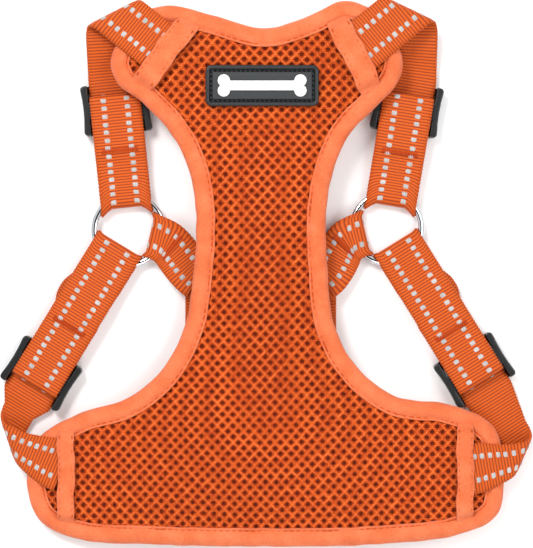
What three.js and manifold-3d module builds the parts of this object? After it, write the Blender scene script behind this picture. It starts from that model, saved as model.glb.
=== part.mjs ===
// No pull dog harness, laid flat on its back: the chest panel on top, straps and buckle under it.
// Millimetres. +X is to the right, +Y towards the neck, +Z up. The straps rest on z = 0.

import * as THREE from 'three';
import { mergeVertices } from 'three/addons/utils/BufferGeometryUtils.js';
import Module from 'manifold-3d';

const wasm = await Module();
wasm.setup();

// ---------------------------------------------------------------- driving dimensions

const GAP = 0.3;                     // left between touching pieces
const WEBBING = { width: 25, thick: 1.4 };

// Panel: lining, foam and mesh face, stacked, with an edge binding round them.
const PANEL = {
  rimHeight: 3.2,                    // underside of the panel at its outer corners
  rise: 11.5,                        // how far the middle arches up over the buckle
  halfSpan: 125,
  droopStart: 70,                    // beyond this |y| the arch fades
  droopLength: 66,
  droop: 0.45,
};
const LAYER = { lining: [0, 0.5], foam: [0.8, 2.0], mesh: [2.3, 3.1] };
const BINDING = { width: 9.3, thick: 0.6, wall: 0.9, stackInset: 2.9 };
const BAND = { thick: 1.0, lift: 6.1 };
const STRAP_LIFT = 5.1;              // mid-thickness of a strap above the panel's underside
const STRAP_DROP = -2.0;             // mid-thickness of a strap folded under the panel

// Panel outline, counter-clockwise from the upper left corner, as points of one smooth loop.
const LEFT_EDGE = [
  [-67, 125], [-77, 107], [-74, 95], [-61, 84.5], [-47.5, 70], [-38.7, 53], [-34.7, 31], [-35.5, 5],
  [-40, -25], [-51, -47], [-69, -62], [-93, -69.7], [-113, -82], [-119.5, -103], [-114, -122],
];
const BOTTOM_EDGE = [[-97, -131.7], [-50, -135], [2, -135.7], [50, -135], [97, -130]];
const RIGHT_EDGE = [
  [115, -121], [119, -103], [114, -77], [92, -65.3], [66, -61.5], [46, -47.5], [33.7, -25], [30.3, 5],
  [29.8, 31], [34, 53], [42, 70], [56, 84], [65.3, 95], [67.8, 107], [58, 125],
];
const TOP_EDGE = [
  [50, 132.5], [38, 135.3], [22, 128], [0, 121.5], [-24, 127.3], [-46, 133], [-57, 131.5],
];

const RING = { radius: 17.25, wire: 1.75, height: 3.45 };
const LOOP = { radius: 2.75 };       // bend of the webbing round a ring's wire
const SLIDER = {
  length: 25, inner: 27, outer: 34, waist: 1.4, bar: 3.5, centreBar: 8, barThick: 1.6,
  strapLevel: 2.6, loopLow: 4.3, barLow: 5.3, loopTop: 7.9, height: 6.9,
};
const FOLD_RADIUS = (STRAP_LIFT - STRAP_DROP) / 2;
const FOLD_BULGE = 2.2;              // how far a fold's bend reaches past its line
const GIRTH_PINCH = 0.35;            // share of its width that a girth strap loses at its fold

const TAIL = { shoulder: 9, girth: 3 };          // length of strap held under its band

// A strap between its slider and its ring, as distances from the ring's centre and as levels.
const RUN = {
  pastSlider: 15, step: 12, flatTo: 33, dip: [[31, 2.6], [25, 1.4], [20, 0.7]],
  curvedFrom: 21, straightFrom: 32, topEnd: 17.5,
};
const RETURN = { start: 18, flatTo: 24, climb: [34, 6.7], top: 44, sliderGap: 5, tail: 20 };
const STEPS = { bend: 6, join: 4, fold: 3 };   // steps in a half turn and a join, and mm in a fold
const SHARES = [-0.5, -0.25, 0, 0.25, 0.5];    // points across a strap

const RINGS = { left: [-68.75, 21.8], right: [60.5, 22.8] };
// anchor: middle of the strap where it leaves its band. out: heading there, in degrees.
// back: heading after the fold. ring: direction of the strap as seen from its ring.
const STRAPS = {
  shoulder_strap_left: {
    side: 'left', anchor: [-55, 113.8], out: 141, back: -88, ring: 95.8, slider: 61.3, reach: 11.5,
    pinch: 0, tail: TAIL.shoulder,
  },
  shoulder_strap_right: {
    side: 'right', anchor: [48.5, 113.3], out: 40, back: -90, ring: 80.6, slider: 60.8, reach: 11.5,
    pinch: 0, tail: TAIL.shoulder,
  },
  girth_strap_left: {
    side: 'left', anchor: [-103.75, -95.2], out: 157, back: 60, ring: 238.6, slider: 84, reach: 8.4,
    pinch: GIRTH_PINCH, tail: TAIL.girth,
  },
  girth_strap_right: {
    side: 'right', anchor: [103.5, -97], out: 10.4, back: 122.5, ring: 301.7, slider: 83.5, reach: 8.4,
    pinch: GIRTH_PINCH, tail: TAIL.girth,
  },
};

const BANDS = {
  upper_band_left: { from: [-39.5, 122.5], to: [-60.3, 95.5], width: 12 },
  upper_band_right: { from: [36.5, 122.5], to: [50.8, 94], width: 12 },
  lower_band_left: { from: [-99.3, -80.6], to: [-99.3, -121.5], width: 8.5 },
  lower_band_right: { from: [99, -77.5], to: [99, -119.5], width: 8.5 },
};

const PATCH = {
  x: -1.9, y: 92.8, width: 56, height: 20.4, corner: 3, thick: 2.6, lift: 3.4, frame: 2.6, recess: 1.1,
};
const EMBLEM = { length: 44, shaft: 2.4, knob: 3.1, thick: 0.6 };

const BUCKLE = {
  x: -9, y: -5, z: 8, half: 15.5, thick: 8.6, body: 19, wall: 1.5, side: 2.5, bar: 3.5, slot: 4.5,
  barHalf: 1.4, slotSide: 2, male: 6, prong: 14, prongWidth: 4, tongue: 11, tongueHalf: 2,
  faceGap: 0.4, window: [4, 12],
};
const BACK = {
  width: 22, reach: 11, tail: 0.5, ringTail: [0.35, 0.2], buckleTail: [0.9, 0.8, 0.72],
  leave: 7, square: [9, 4], step: 0.1, loopRadius: 2.7, loopPush: 3.6,
};
const LEASH = {
  wire: 1.5, half: 11.5, depth: 16, corner: 3, steps: 28, barY: -38,
  tabWidth: 16, tabThick: 1.2, tabLength: 31, tabFlatFrom: 16, tabLevel: 2.35,
};
const BACK_STRAPS = {
  left: { heading: -13, edge: [-37, 0.5], leash: -32.3 },
  right: { heading: 193, edge: [31, 0], leash: 27 },
};

const COLOUR = {
  webbing: 0xf06a1e, mesh: 0xe8581f, binding: 0xff8452, foam: 0xd9652a, plastic: 0x1e1f20,
  patch: 0x3a3b3c, white: 0xf4f4f2, chrome: 0xd0d2d4,
};

// ---------------------------------------------------------------- geometry helpers

const harness = new THREE.Group();

function add(name, geometry, colour, roughness = 0.85, metalness = 0) {
  const material = new THREE.MeshStandardMaterial({ color: colour, roughness, metalness });
  const mesh = new THREE.Mesh(geometry, material);
  mesh.name = name;
  harness.add(mesh);
  return mesh;
}

const heading = (degrees) => {
  const angle = THREE.MathUtils.degToRad(degrees);
  return new THREE.Vector3(Math.cos(angle), Math.sin(angle), 0);
};
const plan = ([x, y]) => new THREE.Vector3(x, y, 0);
const across = (direction) => new THREE.Vector3(-direction.y, direction.x, 0);
const lerp = THREE.MathUtils.lerp;
const ramp = THREE.MathUtils.smoothstep;

// Underside of the panel: an arch across X that fades towards the neck and the belly.
function panelHeight(x, y) {
  const fade = THREE.MathUtils.clamp((Math.abs(y) - PANEL.droopStart) / PANEL.droopLength, 0, 1);
  const arch = Math.max(0, 1 - (x / PANEL.halfSpan) ** 2);
  return PANEL.rimHeight + PANEL.rise * arch * (1 - PANEL.droop * fade * fade * (y < 0 ? 1 : 0.4));
}

// One closed body from loose triangles, wound so that its faces point out.
function closedBody(positions, index) {
  let volume = 0;
  for (let i = 0; i < index.length; i += 3) {
    const [a, b, c] = [positions[index[i]], positions[index[i + 1]], positions[index[i + 2]]];
    volume += a.dot(b.clone().cross(c));
  }
  const wound = volume > 0 ? index : [...index].reverse();
  const geometry = new THREE.BufferGeometry().setFromPoints(positions);
  geometry.setIndex(wound);
  return geometry;
}

// A sheet of points grid[row][column], given thickness from low to high along its normals.
function thicken(grid, low, high, normal = null) {
  const rows = grid.length;
  const columns = grid[0].length;
  const normalAt = (i, j) => {
    if (normal) return normal;
    const along = grid[Math.min(i + 1, rows - 1)][j].clone().sub(grid[Math.max(i - 1, 0)][j]);
    const over = grid[i][Math.min(j + 1, columns - 1)].clone().sub(grid[i][Math.max(j - 1, 0)]);
    return along.cross(over).normalize();
  };
  const positions = [];
  for (const offset of [low, high]) {
    grid.forEach((row, i) => row.forEach((point, j) => {
      positions.push(point.clone().addScaledVector(normalAt(i, j), offset));
    }));
  }
  const id = (layer, i, j) => (layer * rows + i) * columns + j;
  const index = [];
  const quad = (a, b, c, d) => index.push(a, b, c, a, c, d);
  const [lastRow, lastColumn] = [rows - 1, columns - 1];
  for (let i = 0; i < lastRow; i += 1) {
    for (let j = 0; j < lastColumn; j += 1) {
      quad(id(1, i, j), id(1, i + 1, j), id(1, i + 1, j + 1), id(1, i, j + 1));
      quad(id(0, i, j), id(0, i, j + 1), id(0, i + 1, j + 1), id(0, i + 1, j));
    }
    quad(id(0, i, 0), id(0, i + 1, 0), id(1, i + 1, 0), id(1, i, 0));
    quad(id(0, i, lastColumn), id(1, i, lastColumn), id(1, i + 1, lastColumn), id(0, i + 1, lastColumn));
  }
  for (let j = 0; j < lastColumn; j += 1) {
    quad(id(0, 0, j), id(1, 0, j), id(1, 0, j + 1), id(0, 0, j + 1));
    quad(id(0, lastRow, j), id(0, lastRow, j + 1), id(1, lastRow, j + 1), id(1, lastRow, j));
  }
  return closedBody(positions, index);
}

// A closed section swept round a closed path: sections[i] is the section's points at step i.
function sweptLoop(sections) {
  const count = sections[0].length;
  const index = [];
  sections.forEach((_, i) => {
    const next = (i + 1) % sections.length;
    for (let k = 0; k < count; k += 1) {
      const after = (k + 1) % count;
      const [a, b] = [i * count + k, i * count + after];
      const [c, d] = [next * count + after, next * count + k];
      index.push(a, b, c, a, c, d);
    }
  });
  return closedBody(sections.flat(), index);
}

function toSolid(geometry) {
  const bare = geometry.index ? geometry.clone() : geometry;
  bare.deleteAttribute('normal');
  bare.deleteAttribute('uv');
  const merged = mergeVertices(bare, 1e-4);
  return new wasm.Manifold(new wasm.Mesh({
    numProp: 3,
    vertProperties: new Float32Array(merged.attributes.position.array),
    triVerts: new Uint32Array(merged.index.array),
  }));
}

function fromSolid(solid) {
  const mesh = solid.getMesh();
  const geometry = new THREE.BufferGeometry();
  geometry.setAttribute('position', new THREE.BufferAttribute(new Float32Array(mesh.vertProperties), 3));
  geometry.setIndex(new THREE.BufferAttribute(new Uint32Array(mesh.triVerts), 1));
  return geometry;
}

// A box from its lowest to its highest corner.
function block(low, high) {
  const [sx, sy, sz] = high.map((value, axis) => value - low[axis]);
  const geometry = new THREE.BoxGeometry(sx, sy, sz);
  geometry.translate(...high.map((value, axis) => (value + low[axis]) / 2));
  return toSolid(geometry);
}

const extrude = (shape, depth, curveSegments = 6) => (
  new THREE.ExtrudeGeometry(shape, { depth, bevelEnabled: false, curveSegments })
);

// ---------------------------------------------------------------- chest panel

const outlinePoints = [...LEFT_EDGE, ...BOTTOM_EDGE, ...RIGHT_EDGE, ...TOP_EDGE];
const outline = new THREE.CatmullRomCurve3(outlinePoints.map(plan), true, 'centripetal');
const sideSteps = LEFT_EDGE.length - 1;
const bottomSteps = BOTTOM_EDGE.length + 1;
const topSteps = TOP_EDGE.length + 1;
const loopSteps = outlinePoints.length;

// A point of the outline, moved inwards. t counts the outline's points.
function edgePoint(t, inset) {
  const place = (((t / loopSteps) % 1) + 1) % 1;
  const inwards = across(outline.getTangent(place)).normalize();
  return outline.getPoint(place).addScaledVector(inwards, inset);
}

// The outline's point between two of its places whose X is a given share of the way across.
function edgeAcross(start, end, share, inset) {
  const wanted = lerp(edgePoint(start, inset).x, edgePoint(end, inset).x, share);
  let [low, high] = [0, 1];
  for (let i = 0; i < 24; i += 1) {
    const middle = (low + high) / 2;
    if (edgePoint(lerp(start, end, middle), inset).x < wanted) low = middle;
    else high = middle;
  }
  return edgePoint(lerp(start, end, low), inset);
}

// Blends the four sides of the outline into a sheet of points.
function panelGrid(inset, columns, down) {
  const left = (v) => edgePoint(v * sideSteps, inset);
  const bottom = (u) => edgeAcross(sideSteps, sideSteps + bottomSteps, u, inset);
  const right = (v) => edgePoint(sideSteps * 2 + bottomSteps - v * sideSteps, inset);
  const top = (u) => edgeAcross(loopSteps, loopSteps - topSteps, u, inset);
  const grid = [];
  for (let i = 0; i <= down; i += 1) {
    const v = i / down;
    grid.push([]);
    for (let j = 0; j <= columns; j += 1) {
      const u = j / columns;
      const sides = left(v).lerp(right(v), u);
      const ends = top(u).lerp(bottom(u), v);
      const corners = left(0).lerp(right(0), u).lerp(left(1).lerp(right(1), u), v);
      const point = sides.add(ends).sub(corners);
      point.z = panelHeight(point.x, point.y);
      grid[i].push(point);
    }
  }
  return grid;
}

const UP = new THREE.Vector3(0, 0, 1);
const stack = panelGrid(BINDING.stackInset, 10, 28);
add('panel_lining', thicken(stack, ...LAYER.lining, UP), COLOUR.foam);
add('panel_foam', thicken(stack, ...LAYER.foam, UP), COLOUR.foam);
add('mesh_face', thicken(stack, ...LAYER.mesh, UP), COLOUR.mesh);

function edgeBinding() {
  const low = -GAP;
  const high = LAYER.mesh[1] + GAP;
  const section = [
    [BINDING.width, low - BINDING.thick], [0, low - BINDING.thick], [0, high + BINDING.thick],
    [BINDING.width, high + BINDING.thick], [BINDING.width, high], [BINDING.wall, high],
    [BINDING.wall, low], [BINDING.width, low],
  ];
  const sections = [];
  for (let t = 0; t < loopSteps; t += 0.5) {
    sections.push(section.map(([inset, level]) => {
      const point = edgePoint(t, inset);
      point.z = panelHeight(point.x, point.y) + level;
      return point;
    }));
  }
  return sweptLoop(sections);
}
add('edge_binding', edgeBinding(), COLOUR.binding);

// A strip of binding cloth sewn across a strap's end.
function band({ from, to, width }) {
  const [start, end] = [plan(from), plan(to)];
  const sideways = across(end.clone().sub(start).normalize());
  const grid = [];
  for (let i = 0; i <= 8; i += 1) {
    grid.push([-0.5, 0, 0.5].map((w) => {
      const point = start.clone().lerp(end, i / 8).addScaledVector(sideways, w * width);
      point.z = panelHeight(point.x, point.y) + BAND.lift;
      return point;
    }));
  }
  return thicken(grid, 0, BAND.thick, UP);
}
for (const [name, strip] of Object.entries(BANDS)) add(name, band(strip), COLOUR.binding);

// ---------------------------------------------------------------- webbing straps

// The strap between its band and the end of its fold, as rows of points.
// The strap is a flat strip rolled round a bend whose line bisects the two headings.
function foldRows(strap) {
  const out = heading(strap.out);
  const back = heading(strap.back);
  const line = out.clone().add(back).normalize();
  const beyond = across(line).multiplyScalar(Math.sign(across(line).dot(out)));
  const rolled = Math.PI * FOLD_RADIUS / out.dot(beyond);
  const slip = line.clone().multiplyScalar(rolled * out.dot(line));
  const anchor = plan(strap.anchor);
  const target = strap.sliderCentre.clone().addScaledVector(strap.ringward, -SLIDER.length * 0.64);
  const wanted = target.sub(anchor).sub(slip);
  const cross = (a, b) => a.x * b.y - a.y * b.x;
  const stub = cross(wanted, back) / cross(out, back);
  const middle = anchor.clone().addScaledVector(out, stub);
  const sideways = across(out).negate();
  const total = stub + strap.tail + rolled + WEBBING.width * 0.35;
  const count = Math.round(total / STEPS.fold);
  const rows = [];
  for (let i = 0; i <= count; i += 1) {
    const s = -stub - strap.tail + (total * i) / count;
    const width = WEBBING.width * (1 - strap.pinch * ramp(s, -stub, 0));
    rows.push(SHARES.map((w) => {
      const flat = out.clone().multiplyScalar(s).addScaledVector(sideways, w * width);
      const b = flat.dot(beyond);
      const angle = THREE.MathUtils.clamp(b / FOLD_RADIUS, 0, Math.PI);
      const reach = b < 0 ? b : FOLD_BULGE * Math.sin(angle) - Math.max(0, b - Math.PI * FOLD_RADIUS);
      const point = middle.clone().addScaledVector(line, flat.dot(line)).addScaledVector(beyond, reach);
      point.z = panelHeight(point.x, point.y) + STRAP_LIFT - FOLD_RADIUS * (1 - Math.cos(angle));
      return point;
    }));
  }
  return rows;
}

// How far a loop reaches in from a ring's wire, measured from the ring's centre.
function loopReach(w, limit) {
  const wire = Math.sqrt(RING.radius ** 2 - w ** 2);
  const clear = wire - (RING.wire * RING.radius) / wire - 2 * GAP - WEBBING.thick / 2;
  return Math.min(clear, limit + WEBBING.thick / 2);
}

// Rows of a strap on its way to a ring, round the wire and a little way back on top.
function ringRows(strap, distances, levels) {
  const sideways = across(strap.ringward);
  const row = (distance, level, loopShare) => SHARES.map((w) => {
    const reach = loopReach(w * WEBBING.width, strap.reach);
    const middle = loopReach(0, strap.reach);
    const shift = loopShare * (middle - reach);
    const point = strap.ringCentre.clone().addScaledVector(strap.ringward, shift - distance);
    point.addScaledVector(sideways, w * WEBBING.width);
    point.z = level;
    return point;
  });
  const bend = loopReach(0, strap.reach) + LOOP.radius;
  const rows = distances.map((distance, i) => (
    row(distance, levels[i], ramp(-distance, -RUN.straightFrom, -RUN.curvedFrom))
  ));
  for (let i = 0; i <= STEPS.bend; i += 1) {
    const angle = (Math.PI * i) / STEPS.bend;
    const distance = bend - LOOP.radius * Math.sin(angle);
    rows.push(row(distance, RING.height - LOOP.radius * Math.cos(angle), 1));
  }
  rows.push(row(RUN.topEnd, RING.height + LOOP.radius, 1));
  return rows;
}

function prepare(strap) {
  strap.ringCentre = plan(RINGS[strap.side]);
  strap.ringward = heading(strap.ring).multiplyScalar(-1);
  strap.sliderCentre = strap.ringCentre.clone().addScaledVector(strap.ringward, -strap.slider);
}

// Stub, fold, plain run, slider, hidden run and the turn round the ring: one length of webbing.
function mainStrap(strap) {
  const folded = foldRows(strap);
  const last = folded[folded.length - 1];
  const distances = [];
  const levels = [];
  for (let d = strap.slider + RUN.pastSlider; d > RUN.flatTo; d -= RUN.step) {
    distances.push(d);
    levels.push(SLIDER.strapLevel);
  }
  for (const [distance, level] of RUN.dip) {
    distances.push(distance);
    levels.push(level);
  }
  const approach = ringRows(strap, distances, levels);
  const first = approach[0];
  const rows = [];
  for (let i = 1; i < STEPS.join; i += 1) {
    const share = i / STEPS.join;
    rows.push(last.map((point, j) => {
      const mixed = point.clone().lerp(first[j], share);
      mixed.z = lerp(point.z, first[j].z, ramp(share, 0, 1));
      return mixed;
    }));
  }
  return thicken([...folded, ...rows, ...approach], -WEBBING.thick / 2, WEBBING.thick / 2);
}

// The returning layer: on top from the ring to the slider, round the centre bar, sewn beneath.
function returnLayer(strap) {
  const sideways = across(strap.ringward);
  const bend = (SLIDER.loopTop - SLIDER.loopLow) / 2;
  const middle = SLIDER.loopLow + bend;
  const turn = strap.slider + SLIDER.centreBar / 2 + GAP;
  const ringTop = RING.height + LOOP.radius;
  const sewn = strap.slider - RETURN.sliderGap;
  const path = [[RETURN.start, ringTop], [RETURN.flatTo, ringTop], RETURN.climb];
  for (let d = RETURN.top; d < sewn - 1; d += RUN.step) path.push([d, SLIDER.loopTop]);
  path.push([sewn, SLIDER.loopTop]);
  for (let i = 0; i <= STEPS.bend; i += 1) {
    const angle = (Math.PI * i) / STEPS.bend;
    path.push([turn + bend * Math.sin(angle), middle + bend * Math.cos(angle)]);
  }
  path.push([strap.slider - RETURN.tail, SLIDER.loopLow + GAP]);
  const rows = path.map(([distance, level]) => [-0.5, 0, 0.5].map((w) => {
    const point = strap.ringCentre.clone().addScaledVector(strap.ringward, -distance);
    point.addScaledVector(sideways, w * WEBBING.width);
    point.z = level;
    return point;
  }));
  return thicken(rows, -WEBBING.thick / 2, WEBBING.thick / 2);
}

// Three-bar slider in its own frame: X across the strap, Y along it, strap over the outer bars.
function slider() {
  const outer = SLIDER.outer / 2;
  const end = SLIDER.length / 2;
  const waist = outer - SLIDER.waist;
  const shape = new THREE.Shape();
  shape.moveTo(-outer + 2, -end);
  shape.lineTo(outer - 2, -end);
  shape.quadraticCurveTo(outer, -end, outer, -end + 2);
  shape.quadraticCurveTo(waist, 0, outer, end - 2);
  shape.quadraticCurveTo(outer, end, outer - 2, end);
  shape.lineTo(-outer + 2, end);
  shape.quadraticCurveTo(-outer, end, -outer, end - 2);
  shape.quadraticCurveTo(-waist, 0, -outer, -end + 2);
  shape.quadraticCurveTo(-outer, -end, -outer + 2, -end);
  const inner = SLIDER.inner / 2;
  const window = end - SLIDER.bar;
  const channel = block([-inner, -end - 1, SLIDER.barThick], [inner, end + 1, SLIDER.height + 1]);
  const opening = block([-inner, -window, -1], [inner, window, SLIDER.height + 1]);
  const half = SLIDER.centreBar / 2;
  const centreBar = block(
    [-inner - 1, -half, SLIDER.barLow],
    [inner + 1, half, SLIDER.barLow + SLIDER.barThick],
  );
  const frame = toSolid(extrude(shape, SLIDER.height, 4));
  return frame.subtract(channel).subtract(opening).add(centreBar);
}

const sliderSolid = slider();
for (const [name, strap] of Object.entries(STRAPS)) {
  prepare(strap);
  add(name, mainStrap(strap), COLOUR.webbing);
  add(name.replace('strap', 'return'), returnLayer(strap), COLOUR.webbing);
  const piece = add(name.replace('strap', 'slider'), fromSolid(sliderSolid), COLOUR.plastic, 0.45);
  piece.position.copy(strap.sliderCentre);
  piece.rotation.z = THREE.MathUtils.degToRad(strap.ring - 90);
}

for (const [side, centre] of Object.entries(RINGS)) {
  const torus = new THREE.TorusGeometry(RING.radius, RING.wire, 6, 36);
  const ring = add(`o_ring_${side}`, torus, COLOUR.chrome, 0.15, 1);
  ring.position.set(...centre, RING.height);
}

// ---------------------------------------------------------------- back straps, buckle, leash rings

// Distance from the buckle's middle to the bar that holds a strap.
function buckleBarReach(side) {
  const body = side === 'left' ? BUCKLE.male : BUCKLE.body;
  return body + BUCKLE.slot + BUCKLE.bar / 2;
}

// From a sewn tail on top, round the ring, under the panel to the buckle's bar, and a tail again.
function backStrap(side) {
  const sign = side === 'left' ? 1 : -1;
  const centre = plan(RINGS[side]);
  const inwards = heading(BACK_STRAPS[side].heading);
  const bar = new THREE.Vector3(BUCKLE.x - sign * buckleBarReach(side), BUCKLE.y, 0);
  const reach = loopReach(0, BACK.reach) + LOOP.radius;
  const main = new THREE.CatmullRomCurve3([
    centre.clone().addScaledVector(inwards, reach),
    centre.clone().addScaledVector(inwards, reach + BACK.leave),
    plan(BACK_STRAPS[side].edge),
    bar.clone().add(new THREE.Vector3(-BACK.square[0] * sign, 1, 0)),
    bar.clone().add(new THREE.Vector3(-BACK.square[1] * sign, 0, 0)),
    bar,
  ], false, 'centripetal');
  const [ringLow, barLow] = [RING.height - LOOP.radius, BUCKLE.z - BACK.loopRadius];
  const [ringTop, barTop] = [RING.height + LOOP.radius, BUCKLE.z + BACK.loopRadius];
  const low = (share) => lerp(ringLow, barLow, ramp(share, 0.1, 0.5));
  const resting = (share) => low(share) + WEBBING.thick + GAP;
  const row = (share, level, push, loopShare) => {
    const direction = main.getTangent(share);
    const sideways = across(direction);
    return SHARES.map((w) => {
      const wide = w * BACK.width;
      const slip = loopShare * (loopReach(0, BACK.reach) - loopReach(wide, BACK.reach));
      const point = main.getPoint(share).addScaledVector(direction, push - slip);
      point.addScaledVector(sideways, wide);
      point.z = level;
      return point;
    });
  };
  const halfTurn = (each) => {
    for (let i = 0; i <= STEPS.bend; i += 1) {
      const angle = (Math.PI * i) / STEPS.bend;
      each(Math.sin(angle), Math.cos(angle));
    }
  };
  const curved = (share) => ramp(-share, -BACK.ringTail[0], 0);
  const rows = [];
  for (const share of [BACK.tail, ...BACK.ringTail]) {
    const level = lerp(ringTop, resting(share), ramp(share, 0.12, 0.42));
    rows.push(row(share, level, 0, curved(share)));
  }
  halfTurn((sine, cosine) => {
    rows.push(row(0, RING.height + LOOP.radius * cosine, -LOOP.radius * sine, 1));
  });
  for (let share = BACK.step; share < 1 - BACK.step / 2; share += BACK.step) {
    rows.push(row(share, low(share), 0, curved(share)));
  }
  halfTurn((sine, cosine) => {
    rows.push(row(1, BUCKLE.z - BACK.loopRadius * cosine, BACK.loopPush * sine, 0));
  });
  for (const share of BACK.buckleTail) {
    rows.push(row(share, lerp(resting(share), barTop, ramp(share, 0.7, 0.95)), 0, 0));
  }
  return thicken(rows, -WEBBING.thick / 2, WEBBING.thick / 2);
}

// Buckle halves in their own frame: X away from the mating face, Z centred.
function barFrame(length) {
  const end = length + BUCKLE.slot + BUCKLE.bar;
  const frame = block(
    [length - 1, -BUCKLE.half, -BUCKLE.barHalf],
    [end, BUCKLE.half, BUCKLE.barHalf],
  );
  const slotHalf = BUCKLE.half - BUCKLE.slotSide;
  const slot = block(
    [length, -slotHalf, -BUCKLE.thick],
    [length + BUCKLE.slot, slotHalf, BUCKLE.thick],
  );
  return frame.subtract(slot);
}

function femaleHalf() {
  const half = BUCKLE.thick / 2;
  const inside = BUCKLE.half - BUCKLE.side;
  const shell = block([0, -BUCKLE.half, -half], [BUCKLE.body, BUCKLE.half, half]);
  const cavity = block(
    [-1, -inside, BUCKLE.wall - half],
    [BUCKLE.body - 2 * BUCKLE.wall, inside, half - BUCKLE.wall],
  );
  const [near, far] = BUCKLE.window;
  const windows = block(
    [near, -BUCKLE.half - 1, -half + BUCKLE.wall],
    [far, BUCKLE.half + 1, half - BUCKLE.wall],
  );
  return shell.subtract(cavity).subtract(windows).add(barFrame(BUCKLE.body));
}

function maleHalf() {
  const half = BUCKLE.thick / 2;
  const inside = BUCKLE.half - BUCKLE.side - BUCKLE.faceGap;
  const level = half - BUCKLE.wall - BUCKLE.faceGap;
  const root = block([BUCKLE.faceGap, -BUCKLE.half, -half], [BUCKLE.male, BUCKLE.half, half]);
  const prongs = [-1, 1].map((sign) => {
    const outer = sign * inside;
    const inner = sign * (inside - BUCKLE.prongWidth);
    return block(
      [-BUCKLE.prong, Math.min(outer, inner), -level],
      [1, Math.max(outer, inner), level],
    );
  });
  const { tongue, tongueHalf } = BUCKLE;
  const guide = block([-tongue, -tongueHalf, -level], [1, tongueHalf, level]);
  return root.add(prongs[0]).add(prongs[1]).add(guide).add(barFrame(BUCKLE.male));
}

const female = add('buckle_socket', fromSolid(femaleHalf()), COLOUR.plastic, 0.45);
female.position.set(BUCKLE.x, BUCKLE.y, BUCKLE.z);
const male = add('buckle_plug', fromSolid(maleHalf()), COLOUR.plastic, 0.45);
male.position.set(BUCKLE.x, BUCKLE.y, BUCKLE.z);
male.rotation.z = Math.PI;

// D-shaped leash ring, flat, its straight bar along X at the origin and its bow towards -Y.
function leashRing() {
  const { half, depth, wire, corner, steps } = LEASH;
  const path = new THREE.CurvePath();
  const at = (x, y) => new THREE.Vector3(x, y, 0);
  path.add(new THREE.LineCurve3(at(half - corner, 0), at(corner - half, 0)));
  path.add(new THREE.QuadraticBezierCurve3(at(corner - half, 0), at(-half, 0), at(-half, -corner)));
  path.add(new THREE.CubicBezierCurve3(
    at(-half, -corner), at(-half, -depth), at(half, -depth), at(half, -corner),
  ));
  path.add(new THREE.QuadraticBezierCurve3(at(half, -corner), at(half, 0), at(half - corner, 0)));
  const sections = [];
  for (let i = 0; i < steps; i += 1) {
    const point = path.getPointAt(i / steps);
    const outwards = across(path.getTangentAt(i / steps).normalize());
    sections.push(Array.from({ length: 6 }, (_, k) => {
      const angle = (Math.PI * k) / 3;
      const ringPoint = point.clone().addScaledVector(outwards, wire * Math.cos(angle));
      ringPoint.z = wire * Math.sin(angle);
      return ringPoint;
    }));
  }
  return sweptLoop(sections);
}

// Webbing tab folded round a leash ring's bar, both ends sewn under the back strap.
function leashTab() {
  const bend = LEASH.wire + 1.5 * GAP + LEASH.tabThick / 2;
  const level = bend + LEASH.tabThick / 2;
  const path = [
    [LEASH.tabLength, LEASH.tabLevel],
    [LEASH.tabFlatFrom, LEASH.tabLevel],
    [LEASH.tabFlatFrom / 2, level + bend - GAP],
  ];
  for (let i = 0; i <= STEPS.bend; i += 1) {
    const angle = (Math.PI * i) / STEPS.bend;
    path.push([-bend * Math.sin(angle), level + bend * Math.cos(angle)]);
  }
  path.push([LEASH.tabFlatFrom, level - bend], [LEASH.tabLength, level - bend]);
  const width = LEASH.tabWidth / 2;
  const rows = path.map(([y, z]) => [-width, 0, width].map((x) => new THREE.Vector3(x, y, z)));
  return thicken(rows, -LEASH.tabThick / 2, LEASH.tabThick / 2);
}

for (const side of ['left', 'right']) {
  add(`back_strap_${side}`, backStrap(side), COLOUR.webbing);
  const place = BACK_STRAPS[side].leash;
  const tab = add(`leash_tab_${side}`, leashTab(), COLOUR.webbing);
  tab.position.set(place, LEASH.barY, 0);
  const ring = add(`leash_ring_${side}`, leashRing(), COLOUR.chrome, 0.15, 1);
  ring.position.set(place, LEASH.barY, LEASH.wire + 1.5 * GAP + LEASH.tabThick);
}

// ---------------------------------------------------------------- rubber patch

function roundedPlate(width, height, corner) {
  const [x, y] = [width / 2, height / 2];
  const shape = new THREE.Shape();
  shape.moveTo(-x + corner, -y);
  shape.lineTo(x - corner, -y);
  shape.quadraticCurveTo(x, -y, x, -y + corner);
  shape.lineTo(x, y - corner);
  shape.quadraticCurveTo(x, y, x - corner, y);
  shape.lineTo(-x + corner, y);
  shape.quadraticCurveTo(-x, y, -x, y - corner);
  shape.lineTo(-x, -y + corner);
  shape.quadraticCurveTo(-x, -y, -x + corner, -y);
  return shape;
}

// A plain bone: a shaft with two knobs at each end.
function bone() {
  const { length, shaft, knob, thick } = EMBLEM;
  const end = length / 2 - knob;
  let solid = block([-end, -shaft, 0], [end, shaft, thick]);
  for (const x of [-end, end]) {
    for (const y of [-1, 1]) {
      const disc = new THREE.CylinderGeometry(knob, knob, thick, 12).rotateX(Math.PI / 2);
      disc.translate(x, y * knob * 0.8, thick / 2);
      solid = solid.add(toSolid(disc));
    }
  }
  return solid;
}

// The patch is a plate with a raised frame round a recessed field.
function patchPlate() {
  const { width, height, corner, thick, frame, recess } = PATCH;
  const plate = toSolid(extrude(roundedPlate(width, height, corner), thick, 3));
  const field = roundedPlate(width - 2 * frame, height - 2 * frame, corner / 2);
  const pocket = toSolid(extrude(field, thick, 3).translate(0, 0, thick - recess));
  return plate.subtract(pocket);
}

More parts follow.
